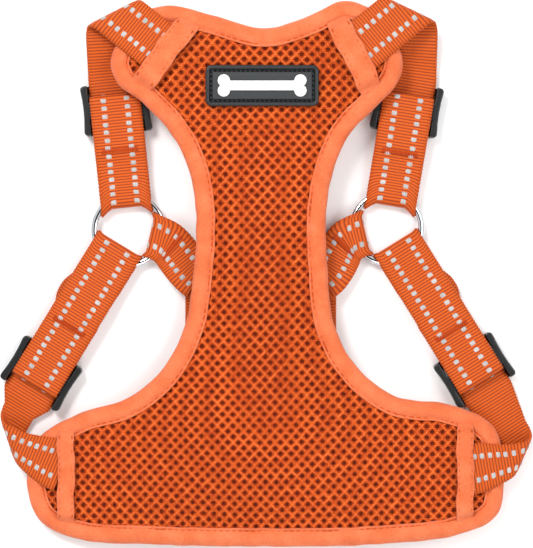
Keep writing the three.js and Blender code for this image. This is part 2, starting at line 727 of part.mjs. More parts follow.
const patchBase = panelHeight(PATCH.x, PATCH.y) + PATCH.lift;
const patch = add('patch', fromSolid(patchPlate()), COLOUR.patch, 0.6);
patch.position.set(PATCH.x, PATCH.y, patchBase);
const emblem = add('patch_emblem', fromSolid(bone()), COLOUR.white, 0.6);
emblem.position.set(PATCH.x, PATCH.y, patchBase + PATCH.thick - PATCH.recess + GAP);

export default harness;
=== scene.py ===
"""Looks for the no pull dog harness, built round its CAD frame. Shapes are worked out in millimetres."""

import math
import random

import bpy
import numpy as np
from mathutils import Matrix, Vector
from mathutils.bvhtree import BVHTree


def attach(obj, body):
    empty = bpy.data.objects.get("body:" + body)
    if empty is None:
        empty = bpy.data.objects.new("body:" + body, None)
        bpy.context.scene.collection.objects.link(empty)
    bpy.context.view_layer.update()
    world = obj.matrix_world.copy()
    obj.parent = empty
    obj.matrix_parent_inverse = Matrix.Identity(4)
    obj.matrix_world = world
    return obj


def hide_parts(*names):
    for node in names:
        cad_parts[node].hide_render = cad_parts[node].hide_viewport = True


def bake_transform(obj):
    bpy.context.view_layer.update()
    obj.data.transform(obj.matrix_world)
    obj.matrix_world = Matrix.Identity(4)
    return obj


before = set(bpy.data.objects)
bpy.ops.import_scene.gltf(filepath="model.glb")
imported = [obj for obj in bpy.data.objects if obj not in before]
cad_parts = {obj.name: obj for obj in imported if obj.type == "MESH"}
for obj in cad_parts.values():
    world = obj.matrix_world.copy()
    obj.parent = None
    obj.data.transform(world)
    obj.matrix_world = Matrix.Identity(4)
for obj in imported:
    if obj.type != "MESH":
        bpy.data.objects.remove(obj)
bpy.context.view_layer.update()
rng = random.Random(7)
noise = np.random.default_rng(7)

# ---------------------------------------------------------------- driving dimensions, in millimetres

MM = 0.001
PANEL = dict(rim=3.2, rise=11.5, half_span=125.0, droop_start=70.0, droop_length=66.0, droop=0.45)
LINING_LEVEL, FOAM_TOP, MESH_TOP = 0.0, 2.0, 3.1
BINDING = dict(step=2.0, seam=8.1, stitch=3.2)
HOLE = dict(pitch=5.2, row=2.8, radius=1.22, sides=10, margin=5.0, warp=(0.8, 1.1), jitter=0.07)
# Each ring of a cell: how far from the hole's edge towards the cell's corners, and its level.
HOLE_RINGS = [(1.0, 0.2), (0.74, 0.13), (0.3, 0.0), (0.0, -0.12), (-0.12, -0.6)]
STRAP = dict(width=25.0, thick=1.4, rib=1.5, rib_height=0.2, step=0.375, stitch=4.0, stitch_at=0.235,
             corner=0.10, scallop=0.16, side=0.22)
STRAP_LIFT, STRAP_DROP = 5.1, -2.0
FOLD_RADIUS = (STRAP_LIFT - STRAP_DROP) / 2
FOLD_BULGE = 2.2
RING = dict(radius=17.25, wire=1.75, height=3.45)
LOOP_RADIUS = 2.75
SLIDER = dict(length=25.0, centre_bar=8.0, level=2.6, loop_low=4.3, loop_top=7.9)
BAND = dict(thick=1.0, lift=6.1, past=4.0, step=0.9, columns=15, stitch_at=0.37, stitch_lift=0.95)
PATCH = dict(x=-1.9, y=92.8, width=56.0, height=20.4, corner=3.0, lift=3.4)
BUCKLE_X, BUCKLE_Y, BUCKLE_Z = -9.0, -5.0, 8.0
BACK = dict(width=22.0, reach=11.0, loop=2.7, push=3.6, leave=7.0)
LEASH = dict(wire=1.5, half=11.5, depth=16.0, corner=3.0, bar_y=-38.0, tab_width=16.0, tab_thick=1.2,
             tab_length=31.0, tab_flat=16.0, tab_level=2.35)
GAP = 0.3
# Distances along a strap: from the slider or the ring to where each stretch starts or ends.
RUN = dict(start=15, end=33, step=6, stitched_from=4.0, stitched_to=6.0)
RETURN = dict(start=20, level_from=40, step=6, level_to=7, sewn=5, under=8, tail=20, bend_share=0.62, back=4)
PAD = dict(inset=3.2, columns=44, rows=112, puff=0.45, sink=0.15, pressure=4.0, frames=20, most=0.9, sag=0.5)
# Each kind of stitch: its length, width and height.
STITCH = dict(seam=(2.3, 0.8, 0.3), strap=(2.3, 3.0, 0.42), tab=(2.0, 0.9, 0.3), band=(2.3, 0.75, 0.35),
              patch=(1.6, 0.55, 0.35))
TACK = dict(depth=2.5, pitch=0.95, thread=0.3, width=18.0, back_width=16.0, back_place=14.0)
UP = np.array([0.0, 0.0, 1.0])

LEFT_EDGE = [
    (-67, 125), (-77, 107), (-74, 95), (-61, 84.5), (-47.5, 70), (-38.7, 53), (-34.7, 31), (-35.5, 5),
    (-40, -25), (-51, -47), (-69, -62), (-93, -69.7), (-113, -82), (-119.5, -103), (-114, -122),
]
BOTTOM_EDGE = [(-97, -131.7), (-50, -135), (2, -135.7), (50, -135), (97, -130)]
RIGHT_EDGE = [
    (115, -121), (119, -103), (114, -77), (92, -65.3), (66, -61.5), (46, -47.5), (33.7, -25), (30.3, 5),
    (29.8, 31), (34, 53), (42, 70), (56, 84), (65.3, 95), (67.8, 107), (58, 125),
]
TOP_EDGE = [(50, 132.5), (38, 135.3), (22, 128), (0, 121.5), (-24, 127.3), (-46, 133), (-57, 131.5)]

RINGS = {"left": (-68.75, 21.8), "right": (60.5, 22.8)}
# Both straps of a kind: how deep the loop reaches, the share of its width lost at the fold, the length under
# its band, and the slider's travel towards the ring.
STRAP_KINDS = {
    "shoulder": dict(reach=11.5, pinch=0.0, tail=9.0, travel=14),
    "girth": dict(reach=8.4, pinch=0.35, tail=3.0, travel=20),
}
# Each strap's anchor, its headings out and back, its direction from the ring, the distances from the ring to
# the slider and to the tack, and the sideways drift of its run.
STRAPS = {
    "shoulder_left": dict(
        anchor=(-55, 113.8), out=141, back=-88, ring=95.8, slider=61.3, tack=42.5, drift=-1.6),
    "shoulder_right": dict(
        anchor=(48.5, 113.3), out=40, back=-90, ring=80.6, slider=60.8, tack=40.5, drift=1.6),
    "girth_left": dict(
        anchor=(-103.75, -95.2), out=157, back=60, ring=238.6, slider=84, tack=58, drift=2.2),
    "girth_right": dict(
        anchor=(103.5, -97), out=10.4, back=122.5, ring=301.7, slider=83.5, tack=62, drift=-2.2),
}
for strap_name, settings in STRAPS.items():
    strap_kind, strap_side = strap_name.split("_")
    settings.update(STRAP_KINDS[strap_kind], kind=strap_kind, side=strap_side)
# Each band's two ends and its width.
BANDS = {
    "upper_band_left": ((-39.5, 122.5), (-60.3, 95.5), 12),
    "upper_band_right": ((36.5, 122.5), (50.8, 94), 12),
    "lower_band_left": ((-99.3, -80.6), (-99.3, -121.5), 8.5),
    "lower_band_right": ((99, -77.5), (99, -119.5), 8.5),
}
# Each back strap's headings into and out of its ring, where it goes under the panel, its leash ring's X, and
# its buckle bar's distance from the buckle's middle.
BACK_STRAPS = {
    "left": dict(heading=-13, leaving=-33, edge=(-37, 0.5), leash=-32.3, bar=12.25, sign=1),
    "right": dict(heading=193, leaving=213, edge=(31, 0), leash=27, bar=25.25, sign=-1),
}

# ---------------------------------------------------------------- small helpers


def smooth(value, low, high):
    """0 below low, 1 above high, and smooth between."""
    t = np.clip((np.asarray(value, float) - low) / (high - low), 0, 1)
    return t * t * (3 - 2 * t)


def unit(degrees):
    """The plan direction at an angle from +X."""
    a = math.radians(degrees)
    return np.array([math.cos(a), math.sin(a)])


def turned(v):
    """A plan vector turned a quarter turn to the left."""
    return np.array([-v[1], v[0]])


def panel_height(x, y):
    """Underside of the panel: an arch across X that fades towards the neck and the belly."""
    x, y = np.asarray(x, float), np.asarray(y, float)
    fade = np.clip((np.abs(y) - PANEL["droop_start"]) / PANEL["droop_length"], 0, 1)
    arch = np.maximum(0, 1 - (x / PANEL["half_span"]) ** 2)
    share = np.where(y < 0, 1.0, 0.4)
    return PANEL["rim"] + PANEL["rise"] * arch * (1 - PANEL["droop"] * fade * fade * share)


def mesh_object(name, points, faces, paint, rounded=True, uv=None):
    """A mesh piece from points in millimetres. uv gives each point its place in the weave."""
    data = bpy.data.meshes.new(name)
    data.from_pydata([tuple(float(c) * MM for c in p) for p in points], [], faces)
    data.validate()
    if rounded:
        data.shade_smooth()
    if uv is not None:
        layer = data.uv_layers.new(name="weave")
        index = np.empty(len(data.loops), int)
        data.loops.foreach_get("vertex_index", index)
        layer.data.foreach_set("uv", np.asarray(uv, np.float32)[index].ravel())
    data.materials.append(paint)
    piece = bpy.data.objects.new(name, data)
    bpy.context.collection.objects.link(piece)
    return piece


def grid_faces(rows, columns, start=0, closed_rows=False, closed_columns=False):
    """Quads over a grid of points numbered row by row."""
    faces = []
    for i in range(rows if closed_rows else rows - 1):
        below = start + ((i + 1) % rows) * columns
        here = start + i * columns
        for j in range(columns if closed_columns else columns - 1):
            k = (j + 1) % columns
            faces.append((here + j, below + j, below + k, here + k))
    return faces


def sheet_faces(rows, columns):
    """Faces of a closed sheet: a grid of points, the same grid again below it, and the rim between them."""
    count = rows * columns
    faces = grid_faces(rows, columns)
    faces += [tuple(count + i for i in reversed(face)) for face in faces]
    rim = list(range(columns)) + [i * columns + columns - 1 for i in range(1, rows)]
    rim += [(rows - 1) * columns + j for j in reversed(range(columns - 1))]
    rim += [i * columns for i in reversed(range(1, rows - 1))]
    return faces + [(a, b, count + b, count + a) for a, b in zip(rim, rim[1:] + rim[:1])]


def frozen(piece, name):
    """piece with its modifiers applied, as a new object in its place."""
    depsgraph = bpy.context.evaluated_depsgraph_get()
    data = bpy.data.meshes.new_from_object(piece.evaluated_get(depsgraph))
    matrix = piece.matrix_world.copy()
    bpy.data.objects.remove(piece)
    data.transform(matrix)
    data.shade_smooth()
    made = bpy.data.objects.new(name, data)
    bpy.context.collection.objects.link(made)
    return made


def placed(piece, body, replaces=()):
    """Ties a piece to its body, and hides the CAD nodes it stands for."""
    if replaces:
        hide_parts(*replaces)
    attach(piece, body)


def joined(name, parts, paint):
    """One piece from several (points, faces) parts."""
    points, faces = [], []
    for part_points, part_faces in parts:
        start = len(points)
        points.extend(part_points)
        faces.extend(tuple(start + i for i in face) for face in part_faces)
    return mesh_object(name, points, faces, paint)


def tube(path, radius, sides=8, closed=False):
    """Points and faces of a round tube along a path of 3-D points."""
    path = np.asarray(path, float)
    if closed:
        tangent = np.roll(path, -1, 0) - np.roll(path, 1, 0)
    else:
        tangent = np.gradient(path, axis=0)
    tangent /= np.linalg.norm(tangent, axis=1)[:, None]
    lean = UP
    if np.max(np.abs(tangent @ lean)) > 0.95:
        lean = np.array([0.03, 0.999, 0.02])
    side = np.cross(tangent, lean)
    side /= np.linalg.norm(side, axis=1)[:, None]
    over = np.cross(side, tangent)
    points = []
    for centre, a, b in zip(path, side, over):
        for k in range(sides):
            angle = 2 * math.pi * k / sides
            points.append(centre + radius * (math.cos(angle) * a + math.sin(angle) * b))
    faces = grid_faces(len(path), sides, closed_rows=closed, closed_columns=True)
    if not closed:
        last = (len(path) - 1) * sides
        faces.append(tuple(range(sides)))
        faces.append(tuple(last + k for k in reversed(range(sides))))
    return points, faces


# ---------------------------------------------------------------- materials


def hex_colour(code):
    """A colour written as on the web, in the renderer's linear values."""
    parts = [int(code[i:i + 2], 16) / 255 for i in (0, 2, 4)]
    return tuple(c / 12.92 if c < 0.04045 else ((c + 0.055) / 1.055) ** 2.4 for c in parts) + (1.0,)


class Paint:
    """One procedural material and short ways to add nodes to it."""

    def __init__(self, name, roughness, metallic=0.0, sheen=0.0, coat=0.0, shine=0.5):
        self.material = bpy.data.materials.new(name)
        self.material.use_nodes = True
        self.tree = self.material.node_tree
        self.shader = self.tree.nodes["Principled BSDF"]
        settings = {"Roughness": roughness, "Metallic": metallic, "Sheen Weight": sheen, "Coat Weight": coat,
                    "Specular IOR Level": shine}
        for socket, value in settings.items():
            self.shader.inputs[socket].default_value = value
        self.height = None

    def node(self, kind, **values):
        made = self.tree.nodes.new(kind)
        for key, value in values.items():
            setattr(made, key, value)
        return made

    def link(self, source, target):
        self.tree.links.new(source, target)

    def place(self, scale):
        """Position on the object, in units of 1/scale millimetres."""
        coordinates = self.node("ShaderNodeTexCoord")
        mapping = self.node("ShaderNodeMapping")
        mapping.inputs["Scale"].default_value = tuple(s / MM for s in scale)
        self.link(coordinates.outputs["Object"], mapping.inputs["Vector"])
        return mapping.outputs["Vector"]

    def speckle(self, scale, detail=3.0):
        """Noise that varies scale times in a millimetre."""
        made = self.node("ShaderNodeTexNoise")
        made.inputs["Scale"].default_value = 1.0
        made.inputs["Detail"].default_value = detail
        self.link(self.place(scale), made.inputs["Vector"])
        return made.outputs["Fac"]

    def ribs(self, axis, count=1.0, power=1.0):
        """0 in the valleys and 1 on the crests of the weave, along one of the weave's two directions."""
        weave = self.node("ShaderNodeUVMap", uv_map="weave")
        split = self.node("ShaderNodeSeparateXYZ")
        self.link(weave.outputs["UV"], split.inputs["Vector"])
        turns = self.maths("MULTIPLY", split.outputs[axis], 2 * math.pi * count)
        wave = self.maths("COSINE", turns)
        half = self.maths("MULTIPLY_ADD", wave, 0.5, 0.5)
        return self.maths("POWER", half, power)

    def maths(self, operation, first, *rest):
        """One sum on numbers or sockets."""
        made = self.node("ShaderNodeMath", operation=operation)
        for socket, value in zip(made.inputs, (first, *rest)):
            if isinstance(value, (int, float)):
                socket.default_value = value
            else:
                self.link(value, socket)
        return made.outputs["Value"]

    def colours(self, factor, dark, light, low=0.3, high=0.7):
        """Base colour from dark where factor is low to light where it is high."""
        ramp = self.node("ShaderNodeValToRGB")
        ramp.color_ramp.elements[0].position = low
        ramp.color_ramp.elements[1].position = high
        ramp.color_ramp.elements[0].color = dark
        ramp.color_ramp.elements[1].color = light
        self.link(factor, ramp.inputs["Fac"])
        self.link(ramp.outputs["Color"], self.shader.inputs["Base Color"])

    def bump(self, factor, depth, strength=1.0):
        """Adds a height of depth millimetres. Several calls add up."""
        made = self.node("ShaderNodeBump")
        made.inputs["Strength"].default_value = strength
        made.inputs["Distance"].default_value = depth * MM
        self.link(factor, made.inputs["Height"])
        if self.height is not None:
            self.link(self.height, made.inputs["Normal"])
        self.height = made.outputs["Normal"]
        self.link(self.height, self.shader.inputs["Normal"])


def brushed_cloth(name, dark, light, sheen=0.5):
    """Soft cloth with a short nap: fine mottling, and a softer, larger variation."""
    paint = Paint(name, 0.95, sheen=sheen, shine=0.15)
    fine = paint.speckle((2.6, 2.6, 2.6), 4.0)
    broad = paint.speckle((0.1, 0.1, 0.1), 2.0)
    mottle = paint.maths("MULTIPLY_ADD", broad, 0.35, paint.maths("MULTIPLY", fine, 0.65))
    paint.colours(mottle, hex_colour(dark), hex_colour(light))
    paint.bump(fine, 0.3, 0.9)
    paint.bump(paint.speckle((0.7, 0.7, 0.7), 2.0), 0.35, 0.5)
    return paint.material


def knitted(name, dark, light, pitch):
    """A fine knit: rows of small loops, faintly uneven."""
    paint = Paint(name, 0.9, sheen=0.1, shine=0.15)
    loops = paint.node("ShaderNodeTexVoronoi", feature="F1")
    loops.inputs["Scale"].default_value = 1.0
    loops.inputs["Randomness"].default_value = 0.35
    paint.link(paint.place((1 / pitch, 0.7 / pitch, 1 / pitch)), loops.inputs["Vector"])
    broad = paint.speckle((0.12, 0.12, 0.12), 2.0)
    uneven = paint.maths("MULTIPLY_ADD", broad, 0.25, 0.75)
    mixed = paint.maths("SUBTRACT", uneven, loops.outputs["Distance"])
    paint.colours(mixed, hex_colour(dark), hex_colour(light), 0.15, 0.75)
    paint.bump(loops.outputs["Distance"], -0.25, 0.8)
    return paint.material


def rib_shaded_webbing(name, dark, light):
    """Nylon webbing: cross ribs with a finer yarn along the strap, and painted shade darkening the rib
    valleys.
    """
    paint = Paint(name, 0.6, sheen=0.05, shine=0.25)
    ribs = paint.ribs(0, 1.0, 0.7)
    yarn = paint.ribs(1, 1.4, 1.0)
    fine = paint.speckle((3.0, 3.0, 3.0), 3.0)
    # Painted shade: the colour goes dark in the valleys between the cross ribs and light on their crests,
    # with a fine speckle mixed in.
    mixed = paint.maths("MULTIPLY_ADD", ribs, 0.75, paint.maths("MULTIPLY", fine, 0.4))
    paint.colours(mixed, hex_colour(dark), hex_colour(light), 0.15, 0.8)
    paint.bump(yarn, 0.10, 0.8)
    paint.bump(fine, 0.10, 0.6)
    return paint.material


def brighter(colour, times):
    """A colour made brighter, up to white."""
    return tuple(min(1.0, c * times) for c in colour[:3]) + (1.0,)


def moulded(name, code, roughness, grain, coat=0.0):
    """Moulded plastic or rubber with a fine, uneven grain."""
    paint = Paint(name, roughness, coat=coat)
    fine = paint.speckle((1.5, 1.5, 1.5), 3.0)
    colour = hex_colour(code)
    paint.colours(fine, colour, brighter(colour, 1.35), 0.35, 0.75)
    paint.bump(fine, grain, 0.5)
    return paint.material


def plated(name, code, roughness):
    """Polished plating with a barely uneven gloss."""
    paint = Paint(name, roughness, metallic=1.0)
    broad = paint.speckle((0.25, 0.25, 0.25), 2.0)
    colour = hex_colour(code)
    paint.colours(broad, colour, brighter(colour, 1.06), 0.35, 0.7)
    gloss = paint.maths("MULTIPLY_ADD", broad, 0.06, roughness - 0.03)
    paint.link(gloss, paint.shader.inputs["Roughness"])
    return paint.material


BINDING_CLOTH = brushed_cloth("binding cloth", "CA5424", "E8845A", 0.15)
MESH_KNIT = knitted("air mesh", "962B04", "CC5414", 0.75)
# A lighter copy of the air mesh knit: a painted highlight on the ridges between the holes.
NET_RIDGE_HIGHLIGHT = knitted("net ridge painted highlight", "C04A12", "F27C3A", 0.75)
# Foam coloured dark: painted shade for what shows down the mesh holes.
FOAM_HOLE_SHADE_KNIT = knitted("foam backing with painted hole shade", "5E1E06", "8A3009", 0.9)
LINING_KNIT = knitted("lining", "CE4A14", "EE7238", 0.9)
# Webbing whose dark colour is painted shade in the valleys between its ribs.
RIB_SHADED_WEBBING = rib_shaded_webbing("webbing", "7A2202", "CC560C")
# Thread darker than the binding: painted shade for the valleys the seams sit in.
SEAM_SHADE_THREAD = brushed_cloth("seam thread with painted valley shade", "A83C0E", "CC5A28", 0.1)
TACK_THREAD = brushed_cloth("tack thread", "A03006", "C84E14", 0.1)
SILVER_THREAD = brushed_cloth("reflective thread", "8C8A88", "D2D0CE", 0.0)
# Near-black thread: painted shade for the stitch holes along the patch's groove.
STITCH_HOLE_SHADE = brushed_cloth("patch stitch holes painted shade", "050505", "151515", 0.0)
PLASTIC = moulded("moulded plastic", "101112", 0.38, 0.03, 0.1)
RUBBER = moulded("patch rubber", "25282A", 0.6, 0.04)
FRAME_RUBBER = moulded("patch frame rubber", "17191B", 0.45, 0.04)
WHITE_RUBBER = moulded("emblem rubber", "DCDCD9", 0.55, 0.03)
CHROME = plated("ring plating", "D4D6D9", 0.07)

# ---------------------------------------------------------------- the panel's outline

OUTLINE = np.array(LEFT_EDGE + BOTTOM_EDGE + RIGHT_EDGE + TOP_EDGE, float)
LOOP_STEPS = len(OUTLINE)
SIDE_STEPS = len(LEFT_EDGE) - 1
BOTTOM_STEPS = len(BOTTOM_EDGE) + 1
TOP_STEPS = len(TOP_EDGE) + 1
SAMPLES_PER_STEP = 60


def bend_through(p0, p1, p2, p3, w):
    """A point of the smooth curve from p1 to p2, a share w of the way, with p0 before and p3 after."""
    d0, d1, d2 = (math.sqrt(np.linalg.norm(b - a)) for a, b in ((p0, p1), (p1, p2), (p2, p3)))
    m1 = ((p1 - p0) / d0 - (p2 - p0) / (d0 + d1) + (p2 - p1) / d1) * d1
    m2 = ((p2 - p1) / d1 - (p3 - p1) / (d1 + d2) + (p3 - p2) / d2) * d1
    cubic = 2 * p1 - 2 * p2 + m1 + m2
    square = -3 * p1 + 3 * p2 - 2 * m1 - m2
    return p1 + m1 * w + square * w * w + cubic * w ** 3


def outline_samples():
    """The smooth closed outline through its points, sampled evenly between each two of them."""
    samples = []
    for i in range(LOOP_STEPS):
        four = [OUTLINE[(i + k) % LOOP_STEPS] for k in (-1, 0, 1, 2)]
        for w in np.arange(SAMPLES_PER_STEP) / SAMPLES_PER_STEP:
            samples.append(bend_through(*four, w))
    return np.array(samples)


EDGE = outline_samples()
EDGE_TANGENT = np.roll(EDGE, -1, 0) - np.roll(EDGE, 1, 0)
EDGE_TANGENT /= np.linalg.norm(EDGE_TANGENT, axis=1)[:, None]
EDGE_INWARD = np.stack([-EDGE_TANGENT[:, 1], EDGE_TANGENT[:, 0]], 1)
EDGE_LENGTHS = np.linalg.norm(np.roll(EDGE, -1, 0) - EDGE, axis=1)
EDGE_PLACE = np.concatenate([[0], np.cumsum(EDGE_LENGTHS)])
PERIMETER = EDGE_PLACE[-1]


def edge_point(t, inset):
    """A point of the outline moved inwards. t counts the outline's points."""
    at = np.asarray(t, float) * SAMPLES_PER_STEP
    low = np.floor(at).astype(int)
    share = (at - low)[..., None]
    size = len(EDGE)
    point = EDGE[low % size] * (1 - share) + EDGE[(low + 1) % size] * share
    inward = EDGE_INWARD[low % size] * (1 - share) + EDGE_INWARD[(low + 1) % size] * share
    return point + inward * np.asarray(inset, float)[..., None]


def even_places(step):
    """Places along the whole outline, step millimetres apart, counted in its points."""
    count = round(PERIMETER / step)
    lengths = np.arange(count) * PERIMETER / count
    steps = np.arange(len(EDGE) + 1) / SAMPLES_PER_STEP
    return np.interp(lengths, EDGE_PLACE, steps), lengths


def edge_across(start, end, shares, inset):
    """The outline's points between two of its places that lie given shares of the way across in X."""
    places = np.linspace(start, end, 400)
    x = edge_point(places, inset)[:, 0]
    wanted = x[0] + (x[-1] - x[0]) * np.asarray(shares)
    return edge_point(np.interp(wanted, x, places), inset)


def panel_grid(inset, columns, rows):
    """The four sides of the outline blended into rows of points."""
    u, v = np.linspace(0, 1, columns + 1), np.linspace(0, 1, rows + 1)
    left = edge_point(v * SIDE_STEPS, inset)[:, None]
    right = edge_point(SIDE_STEPS * 2 + BOTTOM_STEPS - v * SIDE_STEPS, inset)[:, None]
    top = edge_across(LOOP_STEPS, LOOP_STEPS - TOP_STEPS, u, inset)[None]
    bottom = edge_across(SIDE_STEPS, SIDE_STEPS + BOTTOM_STEPS, u, inset)[None]
    u, v = u[None, :, None], v[:, None, None]
    sides = left * (1 - u) + right * u
    ends = top * (1 - v) + bottom * v
    upper = left[0] * (1 - u) + right[0] * u
    lower = left[-1] * (1 - u) + right[-1] * u
    return sides + ends - (upper * (1 - v) + lower * v)


# ---------------------------------------------------------------- chest panel


def edge_distance(points):
    """How far inside the outline each plan point is; negative outside."""
    points = np.asarray(points, float)
    distance = np.empty(len(points))
    for start in range(0, len(points), 2000):
        some = points[start:start + 2000]
        gap = some[:, None] - EDGE[None, ::4]
        squared = (gap ** 2).sum(2)
        nearest = squared.argmin(1)
        way = (gap[np.arange(len(some)), nearest] * EDGE_INWARD[::4][nearest]).sum(1)
        distance[start:start + 2000] = np.sign(way) * np.sqrt(squared.min(1))
    return distance


def under_patch(points):
    """1 under the patch, 0 away from it."""
    x = np.abs(points[:, 0] - PATCH["x"]) - PATCH["width"] / 2
    y = np.abs(points[:, 1] - PATCH["y"]) - PATCH["height"] / 2
    return 1 - smooth(np.maximum(x, y), -1.0, 5.0)


def resting_puff(points):
    """How far the padded panel stands up between its stitching and its middle."""
    inside = edge_distance(points)
    x, y = points[:, 0], points[:, 1]
    waves = 0.28 * np.sin(x / 9.5 + 0.8 * np.sin(y / 23)) * np.sin(y / 13.0 + 1.3)
    waves += 0.22 * np.sin(x / 17.0 - y / 11.0)
    rise = smooth(inside, 6.0, 26.0)
    return (1.0 * rise + waves * rise) * (1 - under_patch(points))


def padded_panel():
    """Lining and foam as one stuffed sheet, held at its stitched edge and under the patch."""
    plan = panel_grid(PAD["inset"], PAD["columns"], PAD["rows"]).reshape(-1, 2)
    base = panel_height(plan[:, 0], plan[:, 1])
    count = len(plan)
    puff = resting_puff(plan)
    full = PAD["puff"]
    top = np.column_stack([plan, base + FOAM_TOP + puff * full])
    low = np.column_stack([plan, base + LINING_LEVEL - PAD["sink"] * puff])
    faces = sheet_faces(PAD["rows"] + 1, PAD["columns"] + 1)
    piece = mesh_object("panel_pad", np.vstack([top, low]), faces, FOAM_HOLE_SHADE_KNIT)
    # The pad's top, seen only down the mesh holes, takes the dark foam colour as painted shade. The
    # underside takes the lining.
    piece.data.materials.append(LINING_KNIT)
    for face in piece.data.polygons:
        face.material_index = 1 if min(face.vertices) >= count else 0
    held = piece.vertex_groups.new(name="stitched")
    inside = np.tile(edge_distance(plan), 2)
    covered = np.tile(under_patch(plan), 2)
    for i in np.nonzero((inside < BINDING["seam"] + 1.2) | (covered > 0.5))[0]:
        held.add([int(i)], 1.0, "REPLACE")
    before = np.array([v.co for v in piece.data.vertices])
    cloth = piece.modifiers.new("stuffing", "CLOTH")
    cloth.settings.quality = 4
    cloth.settings.use_pressure = True
    cloth.settings.uniform_pressure_force = PAD["pressure"]
    cloth.settings.effector_weights.gravity = 0.0
    cloth.settings.vertex_group_mass = held.name
    cloth.point_cache.frame_start = 1
    cloth.point_cache.frame_end = PAD["frames"]
    for number in range(1, PAD["frames"] + 1):
        bpy.context.scene.frame_set(number)
    piece = frozen(piece, "panel_pad")
    bpy.context.scene.frame_set(1)
    after = np.array([v.co for v in piece.data.vertices])
    move = after - before
    length = np.linalg.norm(move, axis=1)[:, None]
    move *= np.minimum(1.0, PAD["most"] * MM / np.maximum(length, 1e-9))
    move[count:, 2] = np.maximum(move[count:, 2], -PAD["sag"] * MM)
    piece.data.vertices.foreach_set("co", (before + move).astype(np.float32).ravel())
    subdivision = piece.modifiers.new("softer", "SUBSURF")
    subdivision.levels = 1
    subdivision.render_levels = 1
    return frozen(piece, "panel_pad")


def surface_reader(piece, above=60.0):
    """Gives the height of a piece's upper surface at plan points, in millimetres."""
    depsgraph = bpy.context.evaluated_depsgraph_get()
    tree = BVHTree.FromObject(piece, depsgraph)

    def height(points, otherwise):
        found = []
        for (x, y), fallback in zip(points, otherwise):
            hit = tree.ray_cast(Vector((x * MM, y * MM, above * MM)), Vector((0, 0, -1)))[0]
            found.append(fallback if hit is None else hit.z / MM)
        return np.array(found)

    return height


def air_mesh(height):
    """The perforated face: a staggered lattice of round-edged holes, each with a wall going down."""
    pitch, row, sides = HOLE["pitch"], HOLE["row"], HOLE["sides"]
    low, high = EDGE.min(0), EDGE.max(0)
    centres = []
    for j in range(int((high[1] - low[1]) / row) + 2):
        shift = pitch / 2 if j % 2 else 0.0
        for i in range(int((high[0] - low[0]) / pitch) + 2):
            centres.append((low[0] + i * pitch + shift, low[1] + j * row))
    centres = np.array(centres)
    x, y = centres.T
    warp = np.column_stack([np.sin(y / 31 + 0.6), np.sin(x / 27 + y / 60)])
    centres = centres + warp * HOLE["warp"]
    centres = centres[edge_distance(centres) > HOLE["margin"]]
    # The cell's corners, on the lines halfway to its six neighbours, with middles on its slanting sides.
    tip = (pitch ** 2 / 4 + row ** 2) / (2 * row)
    shoulder = ((pitch ** 2 / 4 + row ** 2) / 2 - pitch ** 2 / 4) / row
    half = pitch / 2
    middle = (half / 2, (tip + shoulder) / 2)
    outer = np.array([
        (half, -shoulder), (half, shoulder), middle, (0, tip), (-middle[0], middle[1]),
        (-half, shoulder), (-half, -shoulder), (-middle[0], -middle[1]), (0, -tip), (middle[0], -middle[1]),
    ])
    angles = np.arctan2(outer[:, 1], outer[:, 0])
    circle = np.column_stack([np.cos(angles), np.sin(angles)])
    edge = circle * HOLE["radius"]
    offsets, levels = [], []
    for share, level in HOLE_RINGS:
        offsets.append(edge + (outer - edge) * share if share >= 0 else edge * (1 + share))
        levels += [level] * sides
    offsets = np.vstack(offsets)
    levels = np.array(levels)
    jitter = noise.normal(0, HOLE["jitter"], centres.shape)
    plan = centres[:, None] + offsets[None]
    plan[:, sides:] += jitter[:, None]
    plan = plan.reshape(-1, 2)
    base = panel_height(plan[:, 0], plan[:, 1])
    surface = height(plan, base + FOAM_TOP) + (MESH_TOP - FOAM_TOP)
    z = surface + np.tile(levels, len(centres))
    faces = []
    for c in range(len(centres)):
        for face in grid_faces(len(HOLE_RINGS), sides, c * len(levels), closed_columns=True):
            faces.append(tuple(reversed(face)))
    piece = mesh_object("mesh_face", np.column_stack([plan, z]), faces, MESH_KNIT)
    piece.data.materials.append(NET_RIDGE_HIGHLIGHT)
    # The outer strip of each cell, the ridge between holes, takes the lighter copy of the knit as a painted
    # highlight.
    strips = (len(HOLE_RINGS) - 1) * sides
    for number, face in enumerate(piece.data.polygons):
        face.material_index = 1 if number % strips < sides else 0
    return piece


def crinkles(place, total, across_place, depth):
    """A smooth random height that closes on itself round the outline."""
    height = np.zeros(np.broadcast(place, across_place).shape)
    for _ in range(14):
        turns = rng.randint(20, 110)
        phase, slant = rng.uniform(0, 2 * math.pi), rng.uniform(-0.5, 0.5)
        angle = 2 * math.pi * turns * place / total + slant * across_place + phase
        height += math.sqrt(40 / turns) * np.sin(angle)
    return depth * height / 3


